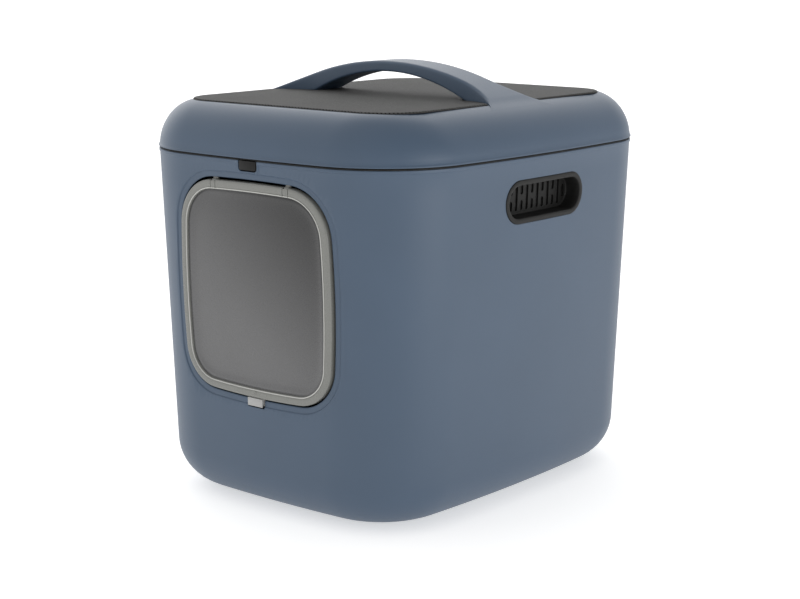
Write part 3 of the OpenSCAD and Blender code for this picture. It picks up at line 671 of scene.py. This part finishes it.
def vent_cutter(side):
    seat = stadium(vent_l + SLIP, VENT_H + SLIP)
    hole = stadium(*(size - 2 * BEZEL_W + 2 * (CUP_WALL + SLIP) for size in (vent_l, VENT_H)))
    rings = [(seat, 6), (seat, FLANGE_SEAT - 0.6), (hole, FLANGE_SEAT - 0.6), (hole, -12)]
    return loft("vent_cutter", [at_vent(outline, out, side) for outline, out in rings])


def hinge_cutters(low, seat_y, half):
    """Clearances for the rear hinges: a round gap about the pin and a flat seat."""
    for side in (-1, 1):
        x = side * HINGE_X
        yield rod((0, hinge_y, seam_z), HINGE_GAP_R, 0, x - HINGE_HALF - 0.8, x + HINGE_HALF + 0.8)
        yield cuboid((x - half, x + half), (seat_y, hinge_y + PAST), low)


def make_tub():
    tub = loft("tub_shell", [tub_ring(h, t) for h, t in tub_profile()])
    join(tub, latch_bead())
    carve(tub, door_cutter(), sill_cutter(), latch_cutter(), vent_cutter(1), vent_cutter(-1),
          *hinge_cutters((seam_z - LEAF_LOW - SLIP, seam_z + PAST), leaf_seat_y, HINGE_HALF + SLIP))
    settle(tub, "tub", "blue_shell", BLUE, "body_tub")


# ---------------------------------------------------------------- lid
def dome_ring(inset_x, inset_y, z):
    return plan_ring(rim_w / 2 - inset_x, rim_d / 2 - inset_y,
                     RIM_R - CORNER_SHRINK * (inset_x + inset_y) / 2, z)


def outer_dome(a):
    share = 1 - math.cos(a)
    return dome_ring(DOME_INSET_X * share, DOME_INSET_Y * share, seam_z + dome_rise * math.sin(a))


def inner_dome(a):
    return dome_ring(DOME_INSET_X - (DOME_INSET_X - LID_WALL) * math.cos(a),
                     DOME_INSET_Y - (DOME_INSET_Y - LID_WALL) * math.cos(a),
                     seam_z + (dome_rise - LID_WALL) * math.sin(a))


def lid_rings():
    """The lid's section: inner dome, foot, a soft lip that stands out over the seam, and outer dome."""
    foot = math.asin((lid_z - seam_z) / dome_rise)
    lip = [(0, -0.8), (0.15, -1.1), (0.5, -LID_FLARE), (1.1, -LID_FLARE), (1.6, -0.95),
           (2.1, -0.55), (2.7, -0.2), (3.5, 0)]
    start = math.asin((lid_z + 4.6 - seam_z) / dome_rise)
    return ([inner_dome(a) for a in arc(math.pi / 2, foot, 20)]
            + [dome_ring(t, t, lid_z + rise) for rise, t in lip]
            + [outer_dome(a) for a in arc(start, math.pi / 2, 28)])


def bow_at(y):
    return SIDE_BOW - math.sqrt(SIDE_BOW ** 2 - y * y)


def dome_height(x, y):
    """Height of the lid's outer face near the handle."""
    inset = rim_w / 2 - bow_at(y) - abs(x)
    if inset >= DOME_INSET_X:
        return crown_z
    return seam_z + dome_rise * math.sqrt(max(0, 1 - (1 - inset / DOME_INSET_X) ** 2))


def ease(value, low, high):
    t = min(1, max(0, (value - low) / (high - low)))
    return t * t * (3 - 2 * t)


def soft_max(a, b, k):
    return (a + b + math.sqrt((a - b) ** 2 + k * k)) / 2


def handle_half_at(x):
    x = abs(x)
    if x < ROOT_START:
        return HANDLE_HALF
    return HANDLE_HALF + ROOT_R - math.sqrt(ROOT_R ** 2 - (x - ROOT_START) ** 2)


def handle_top_at(x, y):
    """The handle's top face: an arch that sinks into the dome in a soft saddle."""
    arch = handle_top - HANDLE_R + math.sqrt(HANDLE_R ** 2 - x * x)
    dome = dome_height(x, y)
    rise = soft_max(arch, dome, 3.0) - dome
    if abs(x) < SADDLE_BLEND[0]:
        rise = arch - dome
    elif abs(x) < SADDLE_BLEND[1]:
        share = ease(abs(x), *SADDLE_BLEND)
        rise = (1 - share) * (arch - dome) + share * rise
    return dome + rise * (1 - ease(abs(x), *SADDLE_FADE)) - SINK_DEPTH * ease(abs(x), *SINK)


def handle_low_at(x, y):
    arch = handle_top - HANDLE_T - GRIP_R + math.sqrt(max(0, GRIP_R ** 2 - x * x))
    buried = dome_height(x, y) - UNDER_SINK
    return soft_max(arch, buried, 2.5) if abs(x) < UNDER_END else buried


def handle_ring(x):
    """One section of the handle across its length, with rounded edges."""
    half = handle_half_at(x)
    step = max(0.05, handle_top_at(x, half) - max(dome_height(x, half), handle_low_at(x, half)))
    r_top = min(TOP_EDGE_R, 0.75 * step)
    r_low = min(LOW_EDGE_R, 0.3 * step)
    flare = FLARE_BY * ease(abs(x), *FLARE)
    right = [(y, handle_top_at(x, y)) for y in arc(0, half - r_top, 8)[:-1]]
    edge = handle_top_at(x, half - r_top) - r_top
    right += [(half - r_top + r_top * math.sin(a), edge + r_top * math.cos(a))
              for a in arc(0, math.pi / 2, 7)]
    low = handle_low_at(x, half)
    for share in (0.3, 0.6, 0.85):
        right.append((half + flare * share ** 3, edge + (low + r_low - edge) * share))
    right += [(half + flare - r_low + r_low * math.cos(a), low + r_low - r_low * math.sin(a))
              for a in arc(0, math.pi / 2, 5)]
    right += [(y, handle_low_at(x, y)) for y in arc(half + flare - r_low, 0, 4)[1:]]
    left = [(-y, z) for y, z in reversed(right[1:-1])]
    return np.array([(x, y, z) for y, z in right + left])


def make_handle():
    return loft("handle", [handle_ring(x) for x in arc(-HANDLE_END, HANDLE_END, HANDLE_STEPS)])


def rounded_rect(w, d, r, steps=14):
    centre = np.array([w - r, d - r])
    q = np.array([(w, 0), *[centre + r * unit(a) for a in arc(0, math.pi / 2, steps)], (0, d)])
    return mirrored(q, q)


def pocket_cutter():
    """The shallow seat of the mat, with a softened lip."""
    steps = [(9, -5), (9, 0.5), (6, 0.75), (3.4, 1.0), (2.7, 0.95), (2.3, 0.68), (1.9, 0.6), (1.3, 0.62),
             (0.9, 0.8), (SLIP, POCKET_DEPTH)]
    rings = [level(rounded_rect(mat_half_w + out, mat_half_d + out, MAT_R + out), crown_z - drop)
             for out, drop in steps]
    return loft("pocket_cutter", rings)


def screw_posts():
    """Posts inside the lid that take the liner's screws."""
    for x, y in POST_PLACES:
        for sx in (-1, 1):
            for sy in (-1, 1):
                yield rod((sx * x, sy * y, 0), POST_R, 2, lid_z + 0.4, seam_z + POST_TOP, 32)


def make_lid():
    lid = loft("lid_dome", lid_rings())
    carve(lid, pocket_cutter())
    join(lid, make_handle(), *screw_posts())
    carve(lid, *hinge_cutters((seam_z, seam_z + HINGE_GAP_R), hinge_y - PAST, MIDDLE_HALF + SLIP))
    settle(lid, "lid", "blue_shell", BLUE, "lid_shell", sharp=38)


# ---------------------------------------------------------------- mat
TOOTH_PITCH = 4.2
TOOTH = (0.0, 0.9, 1.0, 1.0, 0.9, 0.0)    # one tooth's height along its length
MAT_GAP = 0.8
MAT_FALL = 0.8    # how far the mat's top falls from its middle to its edges
FALL_SPAN = (-40, 90)


def mat_outline():
    """The mat's outline, evenly stepped: a rounded rectangle that makes room for the handle's roots."""
    xs = arc(ROOT_START, mat_half_w - 1.2, 16)
    root = [(x, handle_half_at(x) + MAT_GAP) for x in xs]
    tip_y = handle_half_at(mat_half_w) + MAT_GAP
    tip = [(mat_half_w - 0.35, tip_y + 0.2), (mat_half_w, tip_y + 1.4)]
    centre = np.array([mat_half_w - MAT_R, mat_half_d - MAT_R])
    corner = [tuple(centre + MAT_R * unit(a)) for a in arc(0, math.pi / 2, 24)]
    q = np.array([(ROOT_START, 0), *root, *tip, *corner, (0, mat_half_d)])
    outline = mirrored(q, q)
    closed = np.vstack([outline, outline[:1]])
    along = np.concatenate([[0], np.cumsum(np.linalg.norm(np.diff(closed, axis=0), axis=1))])
    teeth = round(along[-1] / TOOTH_PITCH)
    stops = np.linspace(0, along[-1], teeth * len(TOOTH), endpoint=False)
    return np.column_stack([np.interp(stops, along, closed[:, i]) for i in range(2)])


def drawn_in(outline, t):
    """An anticlockwise outline moved inwards by a small distance, or by one for each point."""
    tangent = np.roll(outline, -2, axis=0) - np.roll(outline, 2, axis=0)
    tangent /= np.linalg.norm(tangent, axis=1)[:, None]
    return outline + np.reshape(t, (-1, 1)) * np.column_stack([-tangent[:, 1], tangent[:, 0]])


def make_mat():
    outline = mat_outline()
    n = len(outline)
    tooth = np.array([TOOTH[i % len(TOOTH)] for i in range(n)])
    edge_top = mat_top - MAT_FALL
    floor = mat_low[2] + 0.02
    rings = [(outline, np.full(n, floor)),
             (drawn_in(outline, 0.05), np.full(n, edge_top - 1.35)),
             (drawn_in(outline, 0.3 + 0.5 * tooth), edge_top - 1.25 + 1.1 * tooth),
             (drawn_in(outline, 1.25), edge_top - 1.15 + 1.1 * tooth),
             (drawn_in(outline, 1.55), np.full(n, edge_top))]
    inner = rings[-1][0]
    grid = [(x, y) for x in arc(-mat_half_w, mat_half_w, 44) for y in arc(-mat_half_d, mat_half_d, 56)]
    edge = inner[::3]
    clear = [p for p in grid if np.min(np.hypot(*(edge - p).T)) > 4]
    points = [Vector(p) for p in [*inner, *clear]]
    loop = [(i, (i + 1) % n) for i in range(n)]
    flat, _, faces, _, _, _ = delaunay_2d_cdt(points, loop, [list(range(n))], 1, 1e-5)
    top = []
    for p in flat:
        away = np.min(np.hypot(*(edge - np.array(p)).T))
        fall = MAT_FALL * (1 - ease(away, *FALL_SPAN)) / (1 - ease(0, *FALL_SPAN))
        top.append((p.x, p.y, mat_top - fall))
    vertices = [tuple(v) for outline_at, z in rings[:-1] for v in np.column_stack([outline_at, z])] + top
    sides = []
    for k in range(len(rings) - 1):
        low, high = k * n, (k + 1) * n
        sides += [(low + i, low + (i + 1) % n, high + (i + 1) % n, high + i) for i in range(n)]
    top_faces = [tuple((len(rings) - 1) * n + i for i in face) for face in faces]
    mat = new_object("grip_mat", vertices, sides + top_faces + [tuple(range(n - 1, -1, -1))])
    settle(mat, "lid", "mat_rubber", MAT, "top_mat", sharp=50)


# ---------------------------------------------------------------- flap
flap_half_w = DOOR_HALF_W - GAP_SIDE
flap_half_h = DOOR_HALF_H - (GAP_TOP + GAP_BOTTOM) / 2
flap_mid_z = (GAP_BOTTOM - GAP_TOP) / 2
flap_axis_z = DOOR_HALF_H - GAP_TOP - AXIS_BELOW_TOP
flap_bottom = flap_mid_z - flap_half_h


def flap_outline(inset):
    quarters = [quarter(flap_half_w - inset, flap_half_h - inset, r - GAP_SIDE - inset,
                        DOOR_SIDE_BOW, DOOR_END_BOW, DOOR_STEPS) for r in (DOOR_R_TOP, DOOR_R_BOTTOM)]
    return mirrored(*quarters) + np.array([0, flap_mid_z])


def at_door(x, y, z):
    """A point of the door's frame of reference: across, into the box, and up the leaning wall."""
    c, s = math.cos(door_lean), math.sin(door_lean)
    return (x, door_y + y * c - z * s, door_z + y * s + z * c)


def flap_y(x, depth):
    """Depth in the door's frame of reference of a surface a given depth behind the bowed wall's face."""
    return FRONT_BOW - math.sqrt((FRONT_BOW - depth) ** 2 - x * x)


def on_flap(outline, depth):
    """A ring on the flap, which is bowed as the front wall is."""
    return np.array([at_door(x, flap_y(x, depth), z) for x, z in outline])


def door_block(x, y, z):
    """A cutting block in the door's frame of reference."""
    ring = [(x[0], z[0]), (x[1], z[0]), (x[1], z[1]), (x[0], z[1])]
    return loft("door_block", [np.array([at_door(a, depth, b) for a, b in ring]) for depth in y])


def seam_block(at, back, low):
    """A cutting block for one shallow seam beside a hinge."""
    return door_block((at - SEAM_W / 2, at + SEAM_W / 2), (AHEAD, back), (low, flap_axis_z + PAST))


def slot_cutters():
    """Room behind the flap's band for the hinge knuckles, and the seams that show on its front."""
    top = flap_axis_z + PAST
    half = HINGE_SLOT_W / 2
    for side in (-1, 1):
        x = side * HINGE_SLOT_X
        edge = flap_axis_z + AXIS_BELOW_TOP - HINGE_SLOT_X ** 2 / (2 * DOOR_END_BOW)
        yield door_block((x - half, x + half), (SKIN_Y, PAST), (flap_axis_z - HINGE_SLOT_R, top))
        yield door_block((x - SEAM_HALF, x + SEAM_HALF), (AHEAD, SKIN_Y + 0.1), (edge - CAP_DROP, top))
        for at in (x - SEAM_HALF, x + SEAM_HALF):
            yield seam_block(at, flap_y(at, FLAP_FRONT) + SEAM_DEPTH, edge - BAND_W - 2)


def make_flap_frame():
    face = [(0, 1.9), (0.12, 1.25), (0.5, 0.65), (1.1, 0.22), (1.9, 0.03), (3.4, 0), (5.4, 0.02), (7.0, 0.1),
            (7.5, 0.35), (7.8, 0.5), (8.2, 0.4), (9.0, 0.4), (9.3, 0.55), (BAND_W, 1.0)]
    section = [(0, FLAP_BACK - 0.6), *((t, FLAP_FRONT + drop) for t, drop in face),
               (BAND_W, PANEL_Y - 0.03), (REBATE_W, PANEL_Y - 0.03), (REBATE_W, FLAP_BACK - 0.3),
               (REBATE_W - 0.3, FLAP_BACK), (0.6, FLAP_BACK)]
    piece = loft("flap_surround", [on_flap(flap_outline(t), y) for t, y in section], looped=True)
    carve(piece, *slot_cutters(), lock_pocket())
    join(piece, nub())
    settle(piece, "flap", "flap_trim", TRIM, "flap_frame", sharp=40)


def make_flap_bead():
    """A narrow glossy bead round the inner edge of the flap's band, coloured far lighter than the band as a
    painted highlight.
    """
    section = [(BEAD_IN + BEAD_R * math.cos(a), FLAP_FRONT + 0.25 - BEAD_R * math.sin(a))
               for a in arc(-math.pi / 2, 3 * math.pi / 2, 16)[:-1]]
    piece = loft("flap_bead", [on_flap(flap_outline(t), y) for t, y in section], looped=True)
    carve(piece, *bead_gaps())
    settle(piece, "flap", "flap_trim", PAINTED_HIGHLIGHT, sharp=40)


def bead_gaps():
    """Where the bead stops for the shallow seams beside the hinges."""
    for side in (-1, 1):
        for at in (side * HINGE_SLOT_X - SEAM_HALF, side * HINGE_SLOT_X + SEAM_HALF):
            yield seam_block(at, PANEL_Y, flap_axis_z - BAND_W - 6)


def lock_pocket():
    """Room for the lock slider in the bottom band."""
    half = LOCK_HALF_W + 0.3
    return door_block((-half, half), (0.7, PAST), (flap_bottom - 5, flap_bottom + 6.2))


def nub():
    """A small round nub above the lock."""
    rings = []
    for r, y in ((2.3, 0.6), (2.3, -0.25), (2.1, -0.5), (1.6, -0.62), (1.2, -0.5), (0.9, -0.2)):
        ring = [(r * math.cos(a), flap_bottom + NUB_UP + r * math.sin(a)) for a in full_turn(32)]
        rings.append(np.array([at_door(x, FLAP_FRONT + y, z) for x, z in ring]))
    return loft("nub", rings)


def make_flap_panel():
    """The smoked panel: a shallow ridge next to the frame, then a dish down to a flat, bowed middle."""
    dish = [(REBATE_W + 0.15, 0.5), (REBATE_W + 0.2, 0), (BAND_W, 0), (10.6, 0.05), (11.2, -0.15),
            (12.0, -0.3), (13.0, -0.2), (14.4, 0.25), (16.5, 0.85), (19, 1.3), (22, 1.62), (26, 1.78),
            (31, 1.8)]
    front = [(t, PANEL_Y + drop) for t, drop in dish]
    back = [(REBATE_W + 0.15, PANEL_Y + PANEL_T - 0.3), (REBATE_W + 0.45, PANEL_Y + PANEL_T)]
    back += [(t, max(y, PANEL_Y) + PANEL_T) for t, y in front[2:]]
    last_t, last_y = front[-1]
    core = flap_outline(last_t)
    shrinks = (0.03, 0.2, 0.4, 0.6, 0.8)
    rings = [on_flap(core * share, last_y) for share in shrinks]
    rings += [on_flap(flap_outline(t), y) for t, y in [*reversed(front), *back]]
    rings += [on_flap(core * share, last_y + PANEL_T) for share in reversed(shrinks)]
    settle(loft("flap_window", rings), "flap", "flap_smoke", SMOKE, "flap_panel")


# ---------------------------------------------------------------- vents
def grille_slots():
    """Centre and length of each slot: pairs of short ones, long ones between them, one at each end."""
    for i in range(-2, 3):
        for side in (-1, 1):
            yield 2 * i * SLOT_PITCH, side * SHORT_SLOT_UP, SHORT_SLOT
    for i in range(-3, 3):
        yield (2 * i + 1) * SLOT_PITCH, 0, LONG_SLOT
    for side in (-1, 1):
        yield side * 6 * SLOT_PITCH, 0, END_SLOT


def slot_outline(x, y, length):
    return stadium(length, SLOT_WIDTH, 10)[:, ::-1] + np.array([x, y])


def make_vent(side, name, node):
    def band(inset, out, bowed=True):
        return at_vent(stadium(vent_l - 2 * inset, VENT_H - 2 * inset), out, side, bowed)

    seat = FLANGE_SEAT + 0.02
    wall = BEZEL_W - CUP_WALL
    back = -CUP_DEPTH - CUP_WALL
    bezel = [(0, 0.75), (0.15, 0.38), (0.5, 0.12), (1.1, 0), (3.4, 0), (4.5, 0.15), (5.2, 0.55),
             (BEZEL_W, 1.3)]
    rings = [band(wall + 0.6, back, False), band(wall, back + 0.6, False), band(wall, seat), band(0.1, seat),
             band(0, seat + 0.3), *(band(inset, FLANGE_PROUD - drop) for inset, drop in bezel),
             band(BEZEL_W, -8), band(BEZEL_W + 0.05, -CUP_DEPTH + 2, False),
             band(BEZEL_W + 0.5, -CUP_DEPTH + 0.7, False), band(BEZEL_W + 1.6, -CUP_DEPTH, False)]
    cup = loft(name, rings)
    for x, y, length in grille_slots():
        outline = slot_outline(x, y, length)
        carve(cup, loft("slot", [at_vent(outline, out, side, False) for out in (-CUP_DEPTH + 1, back - 1)]))
    settle(cup, "tub", "charcoal_trim", CHARCOAL, node)


# ---------------------------------------------------------------- small fittings
def rounded_copy(name, node, radius, body, slot_name, material, sharp=35):
    """A copy of a CAD node's mesh with its sharp edges rounded, which stands for the node."""
    made = bpy.data.objects.new(name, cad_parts[node].data.copy())
    bpy.context.scene.collection.objects.link(made)
    work = bmesh.new()
    work.from_mesh(made.data)
    bmesh.ops.remove_doubles(work, verts=work.verts, dist=2 * WELD)
    bmesh.ops.dissolve_limit(work, angle_limit=math.radians(0.6), verts=work.verts, edges=work.edges)
    edges = [e for e in work.edges if len(e.link_faces) == 2 and e.calc_face_angle(0) > math.radians(sharp)]
    bmesh.ops.bevel(work, geom=edges, offset=radius * MM, segments=2, profile=0.5, affect="EDGES",
                    clamp_overlap=True)
    work.to_mesh(made.data)
    work.free()
    return settle(made, body, slot_name, material, node, sharp=sharp)


def islands(node):
    """The separate solids of a CAD node, each as an array of points in millimetres."""
    work = bmesh.new()
    work.from_mesh(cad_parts[node].data)
    bmesh.ops.remove_doubles(work, verts=work.verts, dist=2 * WELD)
    left = set(work.verts)
    found = []
    while left:
        stack, group = [left.pop()], []
        while stack:
            v = stack.pop()
            group.append(np.array(v.co) / MM)
            near = {e.other_vert(v) for e in v.link_edges} & left
            left -= near
            stack += near
        found.append(np.array(group))
    work.free()
    return sorted(found, key=lambda g: tuple(np.round(g.mean(0), 1)))


def make_screws(node, body, axis, sides=36):
    """Turned screws with a domed head and a cross recess, on the places of a CAD node's solids."""
    pieces = []
    for points in islands(node):
        a = np.array(axis(points.mean(0)), float)
        a /= np.linalg.norm(a)
        along = points @ a
        middle = points[along > along.max() - 0.01]
        centre = middle.mean(0) - a * (middle.mean(0) @ a)
        reach = np.linalg.norm(points - np.outer(along, a) - centre, axis=1)
        head_r, tip, top = reach.max(), along.min(), along.max()
        shank_r = reach[along < tip + 0.01].max()
        seat = along[reach > head_r - 0.01].min()
        u = np.cross(a, (0, 0, 1) if abs(a[2]) < 0.9 else (1, 0, 0))
        u /= np.linalg.norm(u)
        v = np.cross(a, u)
        turned = [(shank_r * 0.5, tip), (shank_r, tip + 0.4), (shank_r, seat), (head_r - 0.1, seat),
                  (head_r, seat + 0.15), (head_r * 0.97, seat + (top - seat) * 0.5),
                  (head_r * 0.8, top - 0.12), (head_r * 0.45, top)]
        rings = []
        for r, height in turned:
            rings.append(np.array([centre + a * height + r * (math.cos(t) * u + math.sin(t) * v)
                                   for t in full_turn(sides)]))
        screw = loft("screw", rings)
        for p, q in ((u, v), (v, u)):
            ring = [p * x + q * y for x, y in ((-0.55, -0.13), (0.55, -0.13), (0.55, 0.13), (-0.55, 0.13))]
            recess = [np.array([centre + a * height + head_r * c * share for c in ring])
                      for height, share in ((top + 1, 1), (top - (top - seat) * 0.55, 0.7))]
            carve(screw, loft("recess", recess))
        pieces.append(screw)
    joined = gather(node.replace("_", "-"), pieces)
    settle(joined, body, "steel", STEEL, node)


def gather(name, pieces):
    """One object from several separate solids."""
    work = bmesh.new()
    for piece in pieces:
        work.from_mesh(piece.data)
        bpy.data.objects.remove(piece)
    mesh = bpy.data.meshes.new(name)
    work.to_mesh(mesh)
    work.free()
    made = bpy.data.objects.new(name, mesh)
    bpy.context.scene.collection.objects.link(made)
    return made


def make_foot(node):
    """A rubber foot: rounded rim, shallow ring groove in its sole."""
    low, high = node_box(node)
    centre = (low + high) / 2
    r = (high[0] - low[0]) / 2
    sole = [(0, 0.7), (0.2, 0.2), (0.7, 0), (2.4, 0), (2.7, 0.5), (3.6, 0.5), (3.9, 0)]
    turned = [(r * 0.5, high[2]), (r - 0.3, high[2]), (r, high[2] - 0.3),
              *((r - inset, low[2] + rise) for inset, rise in sole), (r * 0.3, low[2])]
    rings = [np.array([(centre[0] + q * math.cos(a), centre[1] + q * math.sin(a), z) for a in full_turn(64)])
             for q, z in turned]
    settle(loft(node + "-pad", rings), "tub", "black_rubber", RUBBER, node)


SINGLE = ("",)
PAIR = ("_right", "_left")

FITTINGS = [
    # name, node, endings of both, edge radius, body, slot, material
    ("latch_tab", "lid_latch", SINGLE, 0.4, "latch", "charcoal_trim", CHARCOAL),
    ("lock_tab", "flap_lock_slider", SINGLE, 0.3, "lock", "lock_white", WHITE),
    ("lock_plate", "lock_cover", SINGLE, 0.3, "flap", "flap_trim", TRIM),
    ("hinge_knuckle", "flap_bracket", PAIR, 0.4, "tub", "flap_trim", TRIM),
    ("catch_plate", "latch_catch", SINGLE, 0.3, "tub", "charcoal_trim", CHARCOAL),
    ("tub_leaf", "tub_hinge_leaf", PAIR, 0.4, "tub", "charcoal_trim", CHARCOAL),
    ("lid_leaf", "lid_hinge_leaf", PAIR, 0.4, "lid", "charcoal_trim", CHARCOAL),
    ("vent_cover", "filter_cover", PAIR, 0.5, "tub", "charcoal_trim", CHARCOAL),
    ("carbon_pad", "carbon_filter", PAIR, 1.5, "tub", "filter_pad", FOAM),
]

KEPT = {"lid_liner": CHARCOAL, "rim_seal": RUBBER, "latch_pin": STEEL, "latch_spring": STEEL,
        "flap_pins": STEEL, "lid_hinge_pins": STEEL}


def keep_nodes():
    """CAD nodes whose shape is right keep it, and get a finished material."""
    for node, material in KEPT.items():
        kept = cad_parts[node]
        kept.data.materials.clear()
        kept.data.materials.append(material)


def door_axis(_):
    return (0, math.cos(door_lean), math.sin(door_lean))


def vent_axis(centre):
    side = math.copysign(1, centre[0])
    return (-side * math.cos(side_lean), 0, math.sin(side_lean))


SCREWS = {
    "bracket_screws": ("tub", door_axis),
    "catch_screws": ("tub", lambda _: (0, 1, 0)),
    "tub_leaf_screws": ("tub", lambda _: (0, 1, 0)),
    "lid_leaf_screws": ("lid", lambda _: (0, 0, 1)),
    "liner_screws": ("lid", lambda _: (0, 0, -1)),
    "filter_screws": ("tub", vent_axis),
}


# ---------------------------------------------------------------- stage
CAMERA_AZIMUTH = 39.8
CAMERA_AWAY = 1.942
CAMERA_HEIGHT = 0.590
AIM_HEIGHT = 0.195
LENS = 78.93

FLOOR_REACH = 12      # metres from the middle to each side
FLOOR_GLOW = 0.53
SURROUND_LEVEL = 0.8
LOBES = [  # direction, where the change starts and ends as a cosine, and the share it reaches
    ((0, 0, 1), 0.1, 1.0, 1.1),
    ((1, 0, 0.6), 0.4, 1.0, 0.55),
    ((-0.7, 0.65, 0.3), 0.6, 0.97, 2.4),
    ((-1, -0.2, 0.1), 0.5, 1.0, 1.3),
]


def make_camera():
    camera = bpy.data.objects.new("camera", bpy.data.cameras.new("camera"))
    bpy.context.scene.collection.objects.link(camera)
    camera.data.lens = LENS
    camera.data.sensor_width = 36
    a = math.radians(CAMERA_AZIMUTH)
    camera.location = (CAMERA_AWAY * math.sin(a), -CAMERA_AWAY * math.cos(a), CAMERA_HEIGHT)
    aim = Vector((0, 0, AIM_HEIGHT)) - camera.location
    camera.rotation_euler = aim.to_track_quat("-Z", "Y").to_euler()
    bpy.context.scene.camera = camera


def area_light(name, place, aim, size, power):
    light = bpy.data.lights.new(name, "AREA")
    light.shape = "RECTANGLE"
    light.size, light.size_y = size
    light.energy = power
    made = bpy.data.objects.new(name, light)
    bpy.context.scene.collection.objects.link(made)
    made.location = place
    made.rotation_euler = (Vector(aim) - Vector(place)).to_track_quat("-Z", "Y").to_euler()


def make_floor():
    """White paper that glows a little, so that shadows stay faint."""
    size = FLOOR_REACH / MM
    floor = new_object("floor", [(-size, -size, 0), (size, -size, 0), (size, size, 0), (-size, size, 0)],
                       [(0, 1, 2, 3)])
    material, nodes, links, shader = shader_of("floor_paper")
    place = nodes.new("ShaderNodeTexCoord")
    cloud = noise(nodes, links, place, 2)
    links.new(two_tone(nodes, links, cloud.outputs["Fac"], (0.78, 0.78, 0.78), (0.8, 0.8, 0.8)),
              shader.inputs["Base Color"])
    socket(shader, "Roughness", 0.9)
    socket(shader, "Specular IOR Level", 0.1)
    socket(shader, "Emission Color", (1, 1, 1, 1))
    socket(shader, "Emission Strength", FLOOR_GLOW)
    floor.data.materials.append(material)


def make_surround():
    """A white surround, dimmer high on the right, brighter behind on the left and a little so overhead."""
    world = bpy.data.worlds.new("surround")
    world.use_nodes = True
    nodes, links = world.node_tree.nodes, world.node_tree.links
    place = nodes.new("ShaderNodeTexCoord")
    level = None
    for direction, start, end, share in LOBES:
        towards = along_way(nodes, links, place.outputs["Generated"], direction)
        fade = ranged(nodes, links, towards, start, end, 1.0, share, soft=True)
        both = nodes.new("ShaderNodeMath")
        both.operation = "MULTIPLY"
        links.new(fade, both.inputs[0])
        if level is None:
            both.inputs[1].default_value = SURROUND_LEVEL
        else:
            links.new(level, both.inputs[1])
        level = both.outputs["Value"]
    links.new(level, nodes["Background"].inputs["Strength"])
    nodes["Background"].inputs["Color"].default_value = (1, 1, 1, 1)
    bpy.context.scene.world = world


def make_stage():
    make_floor()
    make_surround()
    area_light("side_light", (3.0, 0.2, 0.4), (0, 0, 0.22), (2.0, 1.0), 24)
    bpy.context.scene.view_settings.view_transform = "Standard"


# ---------------------------------------------------------------- build
make_camera()
make_tub()
make_lid()
make_mat()
make_flap_frame()
make_flap_bead()
make_flap_panel()
for side, ending in zip((1, -1), PAIR):
    make_vent(side, "vent_grip" + ending, "vent_cup" + ending)
for name, node, endings, radius, body, slot_name, material in FITTINGS:
    for ending in endings:
        rounded_copy(name + ending, node + ending, radius, body, slot_name, material)
for node, (body, axis) in SCREWS.items():
    make_screws(node, body, axis)
for node in ("foot_front_left", "foot_front_right", "foot_rear_left", "foot_rear_right"):
    make_foot(node)
keep_nodes()
make_stage()
